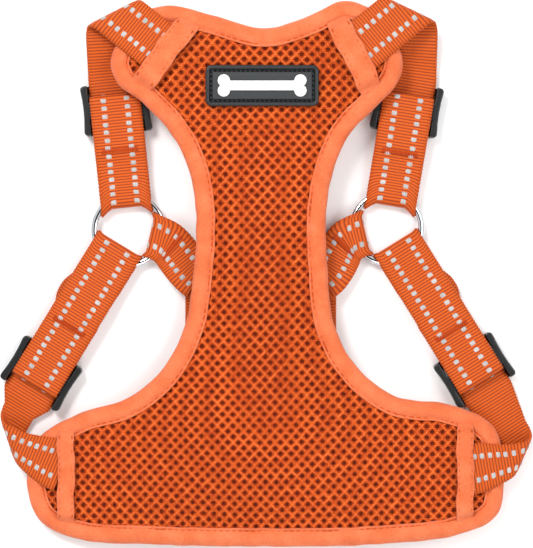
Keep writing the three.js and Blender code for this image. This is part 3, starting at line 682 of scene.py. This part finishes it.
def binding_edge():
    """The soft binding: folded round the edge, full on top and drawn in along its seam."""
    profile = np.array([
        (9.4, 3.05), (9.35, 3.9), (9.0, 4.15), (8.6, 3.9), (8.1, 3.35), (7.6, 3.75), (6.9, 4.35),
        (5.8, 4.75), (4.6, 4.85), (3.4, 4.7), (2.2, 4.3), (1.2, 3.75), (0.4, 2.9), (-0.05, 1.8),
        (0.0, 0.7), (0.5, -0.2), (1.6, -0.8), (3.4, -1.0), (5.4, -1.0), (7.2, -0.8), (8.1, -0.5),
        (9.0, -0.8), (9.4, -0.3), (8.6, 0.0), (1.6, 0.4), (1.4, 1.6), (1.6, 2.7), (8.6, 3.0),
    ])
    places, lengths = even_places(BINDING["step"])
    inset, level = profile[:, 0], profile[:, 1]
    free = smooth(np.minimum(inset, 9.6 - np.abs(inset - 0.3)), 0.2, 2.2) * (level > 3.2)
    rough = crinkles(lengths[:, None], PERIMETER, inset[None], 0.28) * free[None]
    points = edge_point(places[:, None], inset[None])
    wander = crinkles(lengths[:, None], PERIMETER, 0 * inset[None], 0.18)
    points = points + (edge_point(places, 1.0) - edge_point(places, 0.0))[:, None] * wander[..., None] * 0.6
    z = panel_height(points[..., 0], points[..., 1]) + level[None] + rough
    grid = np.concatenate([points, z[..., None]], 2).reshape(-1, 3)
    faces = grid_faces(len(places), len(profile), closed_rows=True, closed_columns=True)
    return mesh_object("edge_binding", grid, faces, BINDING_CLOTH)


def pillow(centre, along, across, normal, size):
    """Points and faces of one raised stitch."""
    length, width, height = size
    rows = [(-1.0, 0.55, -0.3), (-0.75, 0.95, 0.6), (0.0, 1.0, 1.0), (0.75, 0.95, 0.6), (1.0, 0.55, -0.3)]
    points = []
    for place, wide, high in rows:
        for side, lift in ((-1.0, -0.3), (-0.6, 0.75), (0.0, 1.0), (0.6, 0.75), (1.0, -0.3)):
            up = height * (high * lift if lift > 0 and high > 0 else -0.3)
            inside = along * place * length / 2 + across * side * wide * width / 2
            points.append(centre + inside + normal * up)
    return points, [tuple(reversed(face)) for face in grid_faces(5, 5)]


def seam_stitches():
    """The seam along the binding's inner edge."""
    places, _ = even_places(BINDING["stitch"])
    parts = []
    for t in places:
        x, y = edge_point(t, BINDING["seam"])
        ahead = edge_point(t + 0.05, BINDING["seam"]) - np.array([x, y])
        ahead = np.append(ahead / np.linalg.norm(ahead), 0.0)
        centre = np.array([x, y, panel_height(x, y) + 3.45])
        parts.append(pillow(centre, ahead, np.cross(UP, ahead), UP, STITCH["seam"]))
    # The seam's stitches take the darker thread, painted shade for the seam valley.
    return joined("binding_seam", parts, SEAM_SHADE_THREAD)


# ---------------------------------------------------------------- webbing

SHARES = np.linspace(-0.5, 0.5, 11)
MIDDLE = len(SHARES) // 2
BEND_STEPS = 10
RING_APPROACH = [(31, 2.6, 0.02), (28, 2.1, 0.25), (25, 1.4, 0.6), (22, 0.95, 0.95), (20, 0.7, 1.0)]
RING_LEAVING = [(29, 6.4, 0.15), (34, 6.7, 0.0)]


def loop_reach(w, limit):
    """How far a loop reaches in from a ring's wire, measured from the ring's centre."""
    wire = np.sqrt(RING["radius"] ** 2 - np.asarray(w, float) ** 2)
    clear = wire - RING["wire"] * RING["radius"] / wire - 2 * GAP - STRAP["thick"] / 2
    return np.minimum(clear, limit + STRAP["thick"] / 2)


def laid(plan, level):
    """Plan points and their levels as one row of 3-D points."""
    plan = np.asarray(plan, float)
    return np.column_stack([plan, np.broadcast_to(level, len(plan))])


def strap_axes(strap):
    """The ring's centre, the way towards it along the strap, and the slider's place."""
    centre = np.array(RINGS[strap["side"]])
    ringward = -unit(strap["ring"])
    return centre, ringward, centre - ringward * strap["slider"]


def fold_rows(strap):
    """The strap between its band and the end of its fold, rolled round a slanting bend."""
    out, back = unit(strap["out"]), unit(strap["back"])
    line = (out + back) / np.linalg.norm(out + back)
    beyond = turned(line) * np.sign(turned(line) @ out)
    rolled = math.pi * FOLD_RADIUS / (out @ beyond)
    slip = line * rolled * (out @ line)
    anchor = np.array(strap["anchor"])
    _, ringward, slider = strap_axes(strap)
    wanted = slider - ringward * SLIDER["length"] * 0.64 - anchor - slip
    stub = (wanted[0] * back[1] - wanted[1] * back[0]) / (out[0] * back[1] - out[1] * back[0])
    middle = anchor + out * stub
    tail = strap["tail"]
    total = stub + tail + rolled + STRAP["width"] * 0.35
    rows = []
    for s in np.linspace(-stub - tail, total - stub - tail, round(total / 1.2)):
        width = STRAP["width"] * (1 - strap["pinch"] * float(smooth(s, -stub, 0)))
        flat = out * s - turned(out) * SHARES[:, None] * width
        b = flat @ beyond
        angle = np.clip(b / FOLD_RADIUS, 0, math.pi)
        past = np.maximum(0, b - math.pi * FOLD_RADIUS)
        reach = np.where(b < 0, b, FOLD_BULGE * np.sin(angle) - past)
        plan = middle + line * (flat @ line)[:, None] + beyond * reach[:, None]
        lift = STRAP_LIFT - FOLD_RADIUS * (1 - np.cos(angle))
        rows.append(np.column_stack([plan, panel_height(plan[:, 0], plan[:, 1]) + lift]))
    return rows


def ring_row(strap, distance, level, share, aside=0.0):
    """A row of the strap at a distance from its ring; share is how much it follows the wire's curve."""
    centre, ringward, _ = strap_axes(strap)
    wide = SHARES * STRAP["width"]
    shift = share * (loop_reach(0, strap["reach"]) - loop_reach(wide, strap["reach"]))
    plan = centre + ringward * (shift - distance)[:, None] + turned(ringward) * (wide + aside)[:, None]
    return laid(plan, level)


def run_rows(strap):
    """Plain side up, from the fold through the slider to the ring, under its wire."""
    rows = []
    distance = strap["slider"] + RUN["start"]
    while distance > RUN["end"]:
        clear = strap["slider"] - SLIDER["length"] / 2 - strap["travel"] - distance
        between = float(smooth(clear, 0, 8)) * float(smooth(distance, 16, 26))
        rows.append(ring_row(strap, distance, SLIDER["level"], 0.0, strap["drift"] * between))
        distance -= RUN["step"]
    for distance, level, share in RING_APPROACH:
        rows.append(ring_row(strap, distance, level, share))
    return rows


def half_turn():
    """The angles of a bend of half a turn."""
    return [math.pi * i / BEND_STEPS for i in range(BEND_STEPS + 1)]


def return_rows(strap):
    """Round the ring's wire and back on top to the slider's centre bar, round it and underneath."""
    bend = loop_reach(0, strap["reach"]) + LOOP_RADIUS
    rows = [ring_row(strap, *RING_APPROACH[-1])]
    for angle in half_turn():
        level = RING["height"] - LOOP_RADIUS * math.cos(angle)
        rows.append(ring_row(strap, bend - LOOP_RADIUS * math.sin(angle), level, 1.0))
    top = RING["height"] + LOOP_RADIUS
    for distance, level, share in [(18, top, 1.0), (21, top, 0.8), (24, top, 0.5)] + RING_LEAVING:
        rows.append(ring_row(strap, distance, level, share))
    radius = (SLIDER["loop_top"] - SLIDER["loop_low"]) / 2
    turn = strap["slider"] + SLIDER["centre_bar"] / 2 + GAP
    level_to = strap["slider"] - RETURN["level_to"]
    places = [*np.arange(RETURN["level_from"], level_to, RETURN["step"])]
    places += [strap["slider"] - RETURN["sewn"], strap["slider"]]
    for distance in places:
        rows.append(ring_row(strap, distance, SLIDER["loop_top"], 0.0))
    for angle in half_turn():
        level = SLIDER["loop_low"] + radius + radius * math.cos(angle)
        rows.append(ring_row(strap, turn + radius * math.sin(angle), level, 0.0))
    rows.append(ring_row(strap, strap["slider"] - RETURN["under"], SLIDER["loop_low"] + 0.1, 0.0))
    rows.append(ring_row(strap, strap["slider"] - RETURN["tail"], SLIDER["loop_low"] + GAP, 0.0))
    return rows


class Ribbon:
    """A strap laid along rows of points: its surface, and where its stitches go."""

    def __init__(self, rows, thick=STRAP["thick"], face=1.0, sag=0.15):
        rows = np.array(rows, float)
        lengths = np.linalg.norm(np.diff(rows.mean(1), axis=0), axis=1)
        rows = rows[np.concatenate([[True], lengths > 1e-6])]
        place = np.concatenate([[0], np.cumsum(np.linalg.norm(np.diff(rows.mean(1), axis=0), axis=1))])
        self.length = place[-1]
        count = round(self.length / STRAP["step"]) + 1
        self.place = np.linspace(0, self.length, count)
        slope = np.gradient(rows, place, axis=0)
        index = np.clip(np.searchsorted(place, self.place, side="right") - 1, 0, len(place) - 2)
        span = (place[index + 1] - place[index])[:, None, None]
        w = ((self.place - place[index]) / (place[index + 1] - place[index]))[:, None, None]
        a, b = rows[index], rows[index + 1]
        m, n = slope[index] * span, slope[index + 1] * span
        self.middle = a + m * w + (3 * (b - a) - 2 * m - n) * w ** 2 + (2 * (a - b) + m + n) * w ** 3
        along = np.gradient(self.middle, axis=0)
        over = np.gradient(self.middle, axis=1)
        self.along = along / np.linalg.norm(along, axis=2)[..., None]
        self.over = over / np.linalg.norm(over, axis=2)[..., None]
        normal = np.cross(self.along, self.over) * face
        self.normal = normal / np.linalg.norm(normal, axis=2)[..., None]
        self.thick, self.face = thick, face
        phase = rng.uniform(0, 2 * math.pi)
        wobble = sag * np.sin(self.place / 19 + phase) * np.sin(self.place / 7.3)
        self.middle = self.middle + self.normal * 0.25 * np.maximum(wobble, 0)[:, None, None]

    def section(self):
        """Shares across the strap, height above its middle and side, round the whole section."""
        corner = STRAP["corner"]
        top = [(share, 0.5 - corner * (abs(share) > 0.49), 1) for share in SHARES]
        low = [(share, -0.5 + corner * (abs(share) > 0.49), -1) for share in SHARES[::-1]]
        return top + [(0.5, 0.0, 0)] + low + [(-0.5, 0.0, 0)]

    def surface(self):
        """Points of the ribbed surface, row by row, and each one's place in the weave."""
        ribs = np.cos(2 * math.pi * self.place / STRAP["rib"])
        bulge = STRAP["scallop"] * ribs
        points, weave = [], []
        for share, level, side in self.section():
            column = int(round((share + 0.5) * (len(SHARES) - 1)))
            height = level * self.thick + side * STRAP["rib_height"] * 0.5 * (ribs + 1) * (abs(share) < 0.49)
            rim = np.sign(share) * (abs(share) > 0.49) * (bulge + (STRAP["side"] if side == 0 else 0.0))
            lifted = self.middle[:, column] + self.normal[:, column] * height[:, None]
            points.append(lifted + self.over[:, column] * rim[:, None])
            across = np.full(len(self.place), share * STRAP["width"])
            weave.append(np.column_stack([self.place / STRAP["rib"], across]))
        grid = np.stack(points, 1)
        return grid.reshape(-1, 3), np.stack(weave, 1).reshape(-1, 2)

    def build(self, name, paint):
        """The strap as a closed mesh piece."""
        points, weave = self.surface()
        sides = len(self.section())
        count = len(self.place)
        faces = grid_faces(count, sides, closed_columns=True)
        faces.append(tuple(range(sides)))
        faces.append(tuple((count - 1) * sides + k for k in reversed(range(sides))))
        normal = np.cross(points[sides] - points[0], points[2] - points[0])
        if normal @ self.normal[0, 1] < 0:
            faces = [tuple(reversed(face)) for face in faces]
        return mesh_object(name, points, faces, paint, uv=weave)

    def at(self, place, share):
        """The middle of the strap at a place along it and across it, with its directions."""
        i = min(int(round(place / self.length * (len(self.place) - 1))), len(self.place) - 1)
        column = (share + 0.5) * (len(SHARES) - 1)
        j = min(int(column), len(SHARES) - 2)
        part = column - j
        values = []
        for grid in (self.middle, self.along, self.over, self.normal):
            values.append(grid[i, j] * (1 - part) + grid[i, j + 1] * part)
        return values

    def stitches(self, start, end, share):
        """Raised stitches in a row from start to end."""
        parts = []
        for place in np.arange(start, end, STRAP["stitch"]):
            shift = rng.uniform(-0.12, 0.12)
            centre, along, over, normal = self.at(place + shift, share)
            base = centre + normal * (self.thick / 2 + STRAP["rib_height"] * 0.6)
            parts.append(pillow(base + over * rng.uniform(-0.1, 0.1), along, over, normal, STITCH["strap"]))
        return parts

    def tack(self, place, width):
        """A zigzag row of close thread right across the strap."""
        count = int(width / TACK["pitch"])
        path = []
        for k in range(2 * count + 1):
            share = (-0.5 + k / (2 * count)) * width / STRAP["width"]
            edge = TACK["depth"] / 2 * (1 if k % 2 else -1)
            centre, _, _, normal = self.at(place + edge, share)
            path.append(centre + normal * (self.thick / 2 + STRAP["rib_height"] + 0.1))
        fine = []
        for a, b in zip(path, path[1:]):
            fine += [a + (b - a) * part for part in (0.0, 0.5)]
        return [tube(fine + [path[-1]], TACK["thread"], 6)]


def facing_up(rows):
    """A ribbon along rows, with its stitched face up where it starts."""
    ribbon = Ribbon(rows)
    if ribbon.normal[0, MIDDLE, 2] < 0:
        ribbon = Ribbon(rows, face=-1.0)
    return ribbon


def stitched_rows(ribbon, start, end):
    """The two rows of reflective stitches along a strap."""
    return ribbon.stitches(start, end, -STRAP["stitch_at"]) + ribbon.stitches(start, end, STRAP["stitch_at"])


def spread(piece):
    """Bakes the placement of a returning layer, or of what is sewn on it, into its points."""
    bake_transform(piece)


def build_strap(strap):
    """One adjustable strap: its fold and run, its returning layer, and what is sewn on both."""
    kind, side = strap["kind"], strap["side"]
    rows = fold_rows(strap)
    run = run_rows(strap)
    last, first = rows[-1], run[0]
    for share in (0.2, 0.4, 0.6, 0.8):
        mixed = last + (first - last) * share
        mixed[:, 2] = last[:, 2] + (first[:, 2] - last[:, 2]) * smooth(share, 0, 1)
        rows.append(mixed)
    main = facing_up(rows + run)
    piece = main.build(f"{kind}_strap_{side}", RIB_SHADED_WEBBING)
    placed(piece, "harness", [f"{kind}_strap_{side}"])
    stitches = stitched_rows(main, RUN["stitched_from"], main.length - RUN["stitched_to"])
    placed(joined(f"{kind}_strap_thread_{side}", stitches, SILVER_THREAD), "harness")
    back = Ribbon(return_rows(strap), face=main.face, sag=0.6)
    returned = back.build(f"{kind}_return_{side}", RIB_SHADED_WEBBING)
    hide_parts(f"{kind}_return_{side}")
    reach = loop_reach(0, strap["reach"])
    around = RETURN["start"] - reach
    first_stitch = around + math.pi * LOOP_RADIUS * RETURN["bend_share"]
    stitches = stitched_rows(back, first_stitch, back.length - RETURN["tail"])
    thread = joined(f"{kind}_return_thread_{side}", stitches, SILVER_THREAD)
    tack_place = around - RETURN["back"] + math.pi * LOOP_RADIUS + strap["tack"] - reach - LOOP_RADIUS
    tack = joined(f"{kind}_tack_{side}", back.tack(tack_place, TACK["width"]), TACK_THREAD)
    for made in (returned, thread, tack):
        spread(made)


def open_curve(points, share):
    """A point of the smooth open curve through points, and its direction."""
    points = [np.array(p, float) for p in points]
    points = [2 * points[0] - points[1]] + points + [2 * points[-1] - points[-2]]
    spans = len(points) - 3

    def at(t):
        place = min(max(t, 0.0), 1.0) * spans
        i = min(int(place), spans - 1)
        return bend_through(*points[i:i + 4], place - i)

    ahead = at(share + 0.004) - at(share - 0.004)
    return at(share), ahead / np.linalg.norm(ahead)


def back_strap_rows(side):
    """A sewn tail on top, round the ring, under the panel to the buckle's bar, and a tail again."""
    strap = BACK_STRAPS[side]
    sign = strap["sign"]
    centre, inwards, leaving = np.array(RINGS[side]), unit(strap["heading"]), unit(strap["leaving"])
    bar = np.array([BUCKLE_X - sign * strap["bar"], BUCKLE_Y])
    reach = float(loop_reach(0, BACK["reach"])) + LOOP_RADIUS
    route = [
        centre + inwards * reach, centre + inwards * reach + leaving * BACK["leave"], strap["edge"],
        bar + (-9 * sign, 1), bar + (-4 * sign, 0), bar,
    ]
    ring_low, ring_top = RING["height"] - LOOP_RADIUS, RING["height"] + LOOP_RADIUS
    bar_low, bar_top = BUCKLE_Z - BACK["loop"], BUCKLE_Z + BACK["loop"]
    wide = SHARES * BACK["width"]

    still = 0 * wide

    def low(share):
        return ring_low + (bar_low - ring_low) * smooth(share, 0.1, 0.5)

    def resting(share):
        return low(share) + STRAP["thick"] + GAP

    def row(share, level, push, curved):
        point, way = open_curve(route, share)
        way = inwards * curved + way * (1 - curved)
        way /= np.linalg.norm(way)
        slip = curved * (loop_reach(0, BACK["reach"]) - loop_reach(wide, BACK["reach"]))
        return laid(point + way * (push - slip)[:, None] + turned(way) * wide[:, None], level)

    rows = []
    for share in (0.5, 0.43, 0.35, 0.28, 0.2, 0.12, 0.06):
        lift = smooth(share, 0.12, 0.42)
        level = ring_top + (resting(share) - ring_top) * lift
        rows.append(row(share, level, still, 1 - smooth(share, 0, 0.35)))
    for angle in half_turn():
        level = RING["height"] + LOOP_RADIUS * math.cos(angle)
        rows.append(row(0, level, still - LOOP_RADIUS * math.sin(angle), 1.0))
    for share in np.arange(0.06, 0.97, 0.06):
        rows.append(row(share, low(share), still, 1 - smooth(share, 0, 0.35)))
    for angle in half_turn():
        level = BUCKLE_Z - BACK["loop"] * math.cos(angle)
        rows.append(row(1, level, still + BACK["push"] * math.sin(angle), 0.0))
    for share in (0.95, 0.9, 0.85, 0.8, 0.76, 0.72):
        level = resting(share) + (bar_top - resting(share)) * smooth(share, 0.7, 0.95)
        rows.append(row(share, level, still, 0.0))
    return rows


def build_back_strap(side):
    """A back strap with its stitches and tack. The left one has its placement baked into its points; the
    right one is tied to the harness.
    """
    band = facing_up(back_strap_rows(side))
    piece = band.build(f"back_strap_{side}", RIB_SHADED_WEBBING)
    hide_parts(f"back_strap_{side}")
    sewn = band.place[int(np.argmax(band.middle[:, MIDDLE, 2] < RING["height"]))]
    stitches = stitched_rows(band, 2.0, band.length - 8.0)
    thread = joined(f"back_strap_thread_{side}", stitches, SILVER_THREAD)
    zigzag = band.tack(sewn - TACK["back_place"], TACK["back_width"])
    tack = joined(f"back_tack_{side}", zigzag, TACK_THREAD)
    for made in (piece, thread, tack):
        if side == "left":
            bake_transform(made)
        else:
            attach(made, "harness")


def leash_tab(side):
    """A short webbing tab folded round the leash ring's bar and sewn under the back strap."""
    thick = LEASH["tab_thick"]
    bend = LEASH["wire"] + 1.5 * GAP + thick / 2
    level = bend + thick / 2
    length, flat = LEASH["tab_length"], LEASH["tab_flat"]
    path = [(length, LEASH["tab_level"]), (flat, LEASH["tab_level"]), (flat / 2, level + bend - GAP)]
    path += [(-bend * math.sin(a), level + bend * math.cos(a)) for a in half_turn()]
    path += [(flat / 2, level - bend), (flat, level - bend), (length, level - bend)]
    x = BACK_STRAPS[side]["leash"] + SHARES * LEASH["tab_width"]
    rows = [np.column_stack([x, np.full(len(x), LEASH["bar_y"] + y), np.full(len(x), z)]) for y, z in path]
    tab = Ribbon(rows, thick=thick, sag=0.0)
    placed(tab.build(f"leash_tab_{side}", RIB_SHADED_WEBBING), "harness", [f"leash_tab_{side}"])
    right, back = np.array([1.0, 0, 0]), np.array([0, -1.0, 0])
    sewn = []
    for y in (flat * 0.55, flat * 0.8):
        for share in np.linspace(-0.42, 0.42, 6):
            stitch_x = BACK_STRAPS[side]["leash"] + share * LEASH["tab_width"]
            centre = np.array([stitch_x, LEASH["bar_y"] + y, 0.05])
            sewn.append(pillow(centre, right, back, -UP, STITCH["tab"]))
    placed(joined(f"leash_tab_thread_{side}", sewn, TACK_THREAD), "harness")


def sewn_band(name, start, end, width):
    """A strip of binding cloth sewn across a strap's end, full in its middle and held along both sides."""
    start, end = np.array(start, float), np.array(end, float)
    length = np.linalg.norm(end - start)
    way = (end - start) / length
    side = turned(way)
    rows = np.linspace(-BAND["past"], length + BAND["past"], round(length / BAND["step"]))
    shares = np.linspace(-0.5, 0.5, BAND["columns"])
    phase = rng.uniform(0, 6)
    top, low = [], []
    for s in rows:
        tip = 1 - smooth(abs(s - length / 2), length / 2 - 2.0, length / 2 + 3.5)
        wander = 0.35 * math.sin(s / 4.7 + phase) + 0.2 * math.sin(s / 1.9 + 2 * phase)
        squeeze = 1 - 0.10 * (1 - tip)
        for share in shares:
            plan = start + way * s + side * (share * width * squeeze + wander * 2 * abs(share))
            edge = abs(share) * 2
            full = 1.15 * (1 - edge ** 4) - 0.55 * math.exp(-((edge - 0.74) / 0.09) ** 2)
            crease = 0.12 * math.sin(s / 1.7 + 5 * share + phase) * (1 - edge)
            base = float(panel_height(plan[0], plan[1])) + BAND["lift"] - 2.6 * (1 - tip)
            swell = (BAND["thick"] * 0.75 + full * 0.75 + crease) * (0.35 + 0.65 * tip)
            top.append((*plan, base + 0.15 + swell))
            low.append((*plan, base - 0.1))
    piece = mesh_object(name, top + low, sheet_faces(len(rows), len(shares)), BINDING_CLOTH)
    placed(piece, "harness", [name])
    parts = []
    ahead, aside = np.append(way, 0), np.append(side, 0)
    for sign in (-1, 1):
        for s in np.arange(1.0, length - 1.0, BINDING["stitch"]):
            plan = start + way * s + side * sign * BAND["stitch_at"] * width
            z = float(panel_height(plan[0], plan[1])) + BAND["lift"] + BAND["stitch_lift"]
            parts.append(pillow(np.array([*plan, z]), ahead, aside, UP, STITCH["band"]))
    # The band's stitches sit in its side grooves and take the darker thread as painted shade.
    placed(joined(f"{name}_seam", parts, SEAM_SHADE_THREAD), "harness")


# ---------------------------------------------------------------- hardware


def softened(node, paint, body, voxel=0.4, rounds=4):
    """A moulded piece from its CAD shape, with every edge slightly rounded, tied to its body."""
    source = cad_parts[node]
    piece = bpy.data.objects.new(node, source.data.copy())
    bpy.context.collection.objects.link(piece)
    piece.matrix_world = source.matrix_world.copy()
    piece.data.materials.clear()
    piece.data.materials.append(paint)
    size = piece.modifiers.new("even", "REMESH")
    size.mode = "VOXEL"
    size.voxel_size = voxel * MM
    size.use_smooth_shade = True
    ease = piece.modifiers.new("ease", "SMOOTH")
    ease.factor = 0.5
    ease.iterations = rounds
    placed(frozen(piece, node), body, [node])


def round_ring(name, centre):
    """A plain plated ring of round wire."""
    count = 120
    angles = np.arange(count) * 2 * math.pi / count
    path = np.column_stack([
        centre[0] + RING["radius"] * np.cos(angles),
        centre[1] + RING["radius"] * np.sin(angles),
        np.full(count, RING["height"]),
    ])
    points, faces = tube(path, RING["wire"], 24, closed=True)
    placed(mesh_object(name, points, faces, CHROME), f"{name}_body", [name])


def leash_ring(side):
    """A D-shaped ring: a straight bar inside the tab and a bow away from it."""
    half, depth, corner = LEASH["half"], LEASH["depth"], LEASH["corner"]

    def curve(count, *points):
        """Points along a Bezier curve with these handles, all but its last."""
        t = np.linspace(0, 1, count)[:-1, None]
        order = len(points) - 1
        shares = [math.comb(order, k) * t ** k * (1 - t) ** (order - k) for k in range(order + 1)]
        return sum(share * np.array(point, float) for share, point in zip(shares, points))

    bar_end = half - corner
    plan = np.vstack([
        curve(16, (bar_end, 0), (-bar_end, 0)),
        curve(16, (-bar_end, 0), (-half, 0), (-half, -corner)),
        curve(40, (-half, -corner), (-half, -depth), (half, -depth), (half, -corner)),
        curve(16, (half, -corner), (half, 0), (bar_end, 0)),
    ])
    level = LEASH["wire"] + 1.5 * GAP + LEASH["tab_thick"]
    plan = plan + (BACK_STRAPS[side]["leash"], LEASH["bar_y"])
    points, faces = tube(laid(plan, level), LEASH["wire"], 16, closed=True)
    name = f"leash_ring_{side}"
    placed(mesh_object(name, points, faces, CHROME), f"{name}_body", [name])


def rounded_rectangle(width, height, corner, inset, per_corner=8):
    """Points round a rectangle with round corners, moved inwards."""
    radius = max(corner - inset, 0.35)
    x, y = width / 2 - inset - radius, height / 2 - inset - radius
    points = []
    for quarter, (sx, sy) in enumerate(((1, 1), (-1, 1), (-1, -1), (1, -1))):
        for k in range(per_corner + 1):
            angle = math.pi / 2 * (quarter + k / per_corner)
            points.append((sx * x + radius * math.cos(angle), sy * y + radius * math.sin(angle)))
    return points


def patch_part(name, profile, paint):
    """Rounded-rectangle rings at (inset, level) from the patch's outer edge inwards, closed at both ends."""
    base = float(panel_height(PATCH["x"], PATCH["y"])) + PATCH["lift"]
    points = []
    for inset, level in profile:
        for x, y in rounded_rectangle(PATCH["width"], PATCH["height"], PATCH["corner"], inset):
            points.append((x + PATCH["x"], y + PATCH["y"], base + level))
    around = len(points) // len(profile)
    faces = grid_faces(len(profile), around, closed_columns=True)
    last = (len(profile) - 1) * around
    faces.append(tuple(last + k for k in range(around)))
    faces.append(tuple(reversed(range(around))))
    return mesh_object(name, points, faces, paint)


def rubber_patch():
    """A soft rubber patch: a raised frame, a stitched groove and a low field with a white bone on it."""
    frame_profile = [
        (0.3, 0.0), (0.0, 0.3), (0.0, 1.7), (0.15, 2.15), (0.5, 2.5), (1.0, 2.6), (1.5, 2.55),
        (1.9, 2.3), (2.15, 1.8), (2.3, 1.2), (2.6, 0.95), (3.1, 0.95), (3.35, 1.15), (3.5, 1.5),
    ]
    placed(patch_part("patch", frame_profile, FRAME_RUBBER), "harness", ["patch"])
    field = [(3.45, 1.0), (3.45, 1.45), (3.6, 1.62), (4.0, 1.7), (6.0, 1.7), (9.0, 1.7)]
    placed(patch_part("patch_field", field, RUBBER), "harness")
    base = float(panel_height(PATCH["x"], PATCH["y"])) + PATCH["lift"]
    ring = np.array(rounded_rectangle(PATCH["width"], PATCH["height"], PATCH["corner"], 2.85))
    steps = np.linalg.norm(np.roll(ring, -1, 0) - ring, axis=1)
    place = np.concatenate([[0], np.cumsum(steps)])
    looped = np.vstack([ring, ring[:1]])
    parts = []
    count = round(place[-1] / 2.3)
    for s in np.arange(count) * place[-1] / count:
        here = np.array([np.interp(s, place, looped[:, k]) for k in (0, 1)])
        ahead = np.array([np.interp(s + 0.3, place, looped[:, k], period=place[-1]) for k in (0, 1)]) - here
        ahead = np.append(ahead / max(np.linalg.norm(ahead), 1e-9), 0)
        centre = np.array([here[0] + PATCH["x"], here[1] + PATCH["y"], base + 1.0])
        parts.append(pillow(centre, ahead, np.cross(UP, ahead), UP, STITCH["patch"]))
    # The groove's stitches are near black, painted shade for the stitch holes.
    placed(joined("patch_stitches", parts, STITCH_HOLE_SHADE), "harness")
    softened("patch_emblem", WHITE_RUBBER, "harness", voxel=0.2, rounds=3)


# ---------------------------------------------------------------- putting it together

pad = padded_panel()
placed(pad, "harness", ["panel_foam", "panel_lining"])

placed(air_mesh(surface_reader(pad)), "harness", ["mesh_face"])
placed(binding_edge(), "harness", ["edge_binding"])
placed(seam_stitches(), "harness")

for strip, (strip_start, strip_end, strip_width) in BANDS.items():
    sewn_band(strip, strip_start, strip_end, strip_width)

for strap_name, settings in STRAPS.items():
    build_strap(settings)
    slider_node = f"{settings['kind']}_slider_{settings['side']}"
    softened(slider_node, PLASTIC, f"{strap_name}_slider")

for ring_side, ring_centre in RINGS.items():
    round_ring(f"o_ring_{ring_side}", ring_centre)
    build_back_strap(ring_side)
    leash_tab(ring_side)
    leash_ring(ring_side)

for half_name, half_body in (("buckle_socket", "harness"), ("buckle_plug", "plug_half")):
    softened(half_name, PLASTIC, half_body, voxel=0.45)

rubber_patch()

# ---------------------------------------------------------------- stage, light and camera

CENTRE = (0.00025, -0.0002)
VIEW_HEIGHT = 0.274
# The sky's brightness by height, from the horizon to straight overhead.
SKY = [(0.12, 0.03), (0.34, 1.0), (0.86, 1.0), (0.95, 0.02)]
SKY_STRENGTH = 0.9
LENS = 135.0
SENSOR = 36.0
LEVEL = 0.006
FLOOR = dict(half=3000.0, level=-0.4, colour=(0.93, 0.93, 0.93, 1.0))
# Each lamp's place in metres, its size and its power.
LAMPS = {
    "key": ((-0.55, 0.75, 1.1), 0.5, 14.0),
    "fill": ((0.9, 0.2, 1.2), 1.0, 8.0),
    "front": ((0.1, -1.0, 1.0), 0.9, 6.0),
}


def floor():
    """A broad pale floor just under the harness."""
    paint = Paint("floor", 0.9)
    paint.shader.inputs["Base Color"].default_value = FLOOR["colour"]
    half = FLOOR["half"]
    corners = [(-half, -half, 0), (half, -half, 0), (half, half, 0), (-half, half, 0)]
    made = mesh_object("floor", corners, [(0, 1, 2, 3)], paint.material, rounded=False)
    made.location.z = FLOOR["level"] * MM


def soft_light(name, place, size, power):
    """A round lamp aimed at the harness."""
    data = bpy.data.lights.new(name, "AREA")
    data.shape = "DISK"
    data.size = size
    data.energy = power
    made = bpy.data.objects.new(name, data)
    made.location = place
    made.rotation_mode = "QUATERNION"
    made.rotation_quaternion = (-Vector(place)).to_track_quat("-Z", "Y")
    bpy.context.collection.objects.link(made)


def studio_world():
    """Bright all round, but dark low down and straight overhead, so the plated rings show their shape."""
    made = bpy.data.worlds.new("studio")
    made.use_nodes = True
    tree = made.node_tree
    place = tree.nodes.new("ShaderNodeTexCoord")
    split = tree.nodes.new("ShaderNodeSeparateXYZ")
    ramp = tree.nodes.new("ShaderNodeValToRGB")
    stops = ramp.color_ramp.elements
    for i, (height, grey) in enumerate(SKY):
        stop = stops[i] if i < len(stops) else stops.new(height)
        stop.position = height
        stop.color = (grey, grey, grey, 1.0)
    background = tree.nodes["Background"]
    background.inputs["Strength"].default_value = SKY_STRENGTH
    tree.links.new(place.outputs["Generated"], split.inputs["Vector"])
    tree.links.new(split.outputs["Z"], ramp.inputs["Fac"])
    tree.links.new(ramp.outputs["Color"], background.inputs["Color"])
    return made


floor()
for lamp_name, (lamp_place, lamp_size, lamp_power) in LAMPS.items():
    soft_light(lamp_name, lamp_place, lamp_size, lamp_power)
bpy.context.scene.world = studio_world()
bpy.context.scene.view_settings.view_transform = "Standard"

camera_data = bpy.data.cameras.new("camera")
camera_data.lens = LENS
camera_data.sensor_width = SENSOR
camera_data.clip_start = 0.05
camera_data.clip_end = 10.0
camera = bpy.data.objects.new("camera", camera_data)
camera.location = (*CENTRE, LEVEL + VIEW_HEIGHT * LENS / SENSOR)
bpy.context.collection.objects.link(camera)
bpy.context.scene.camera = camera
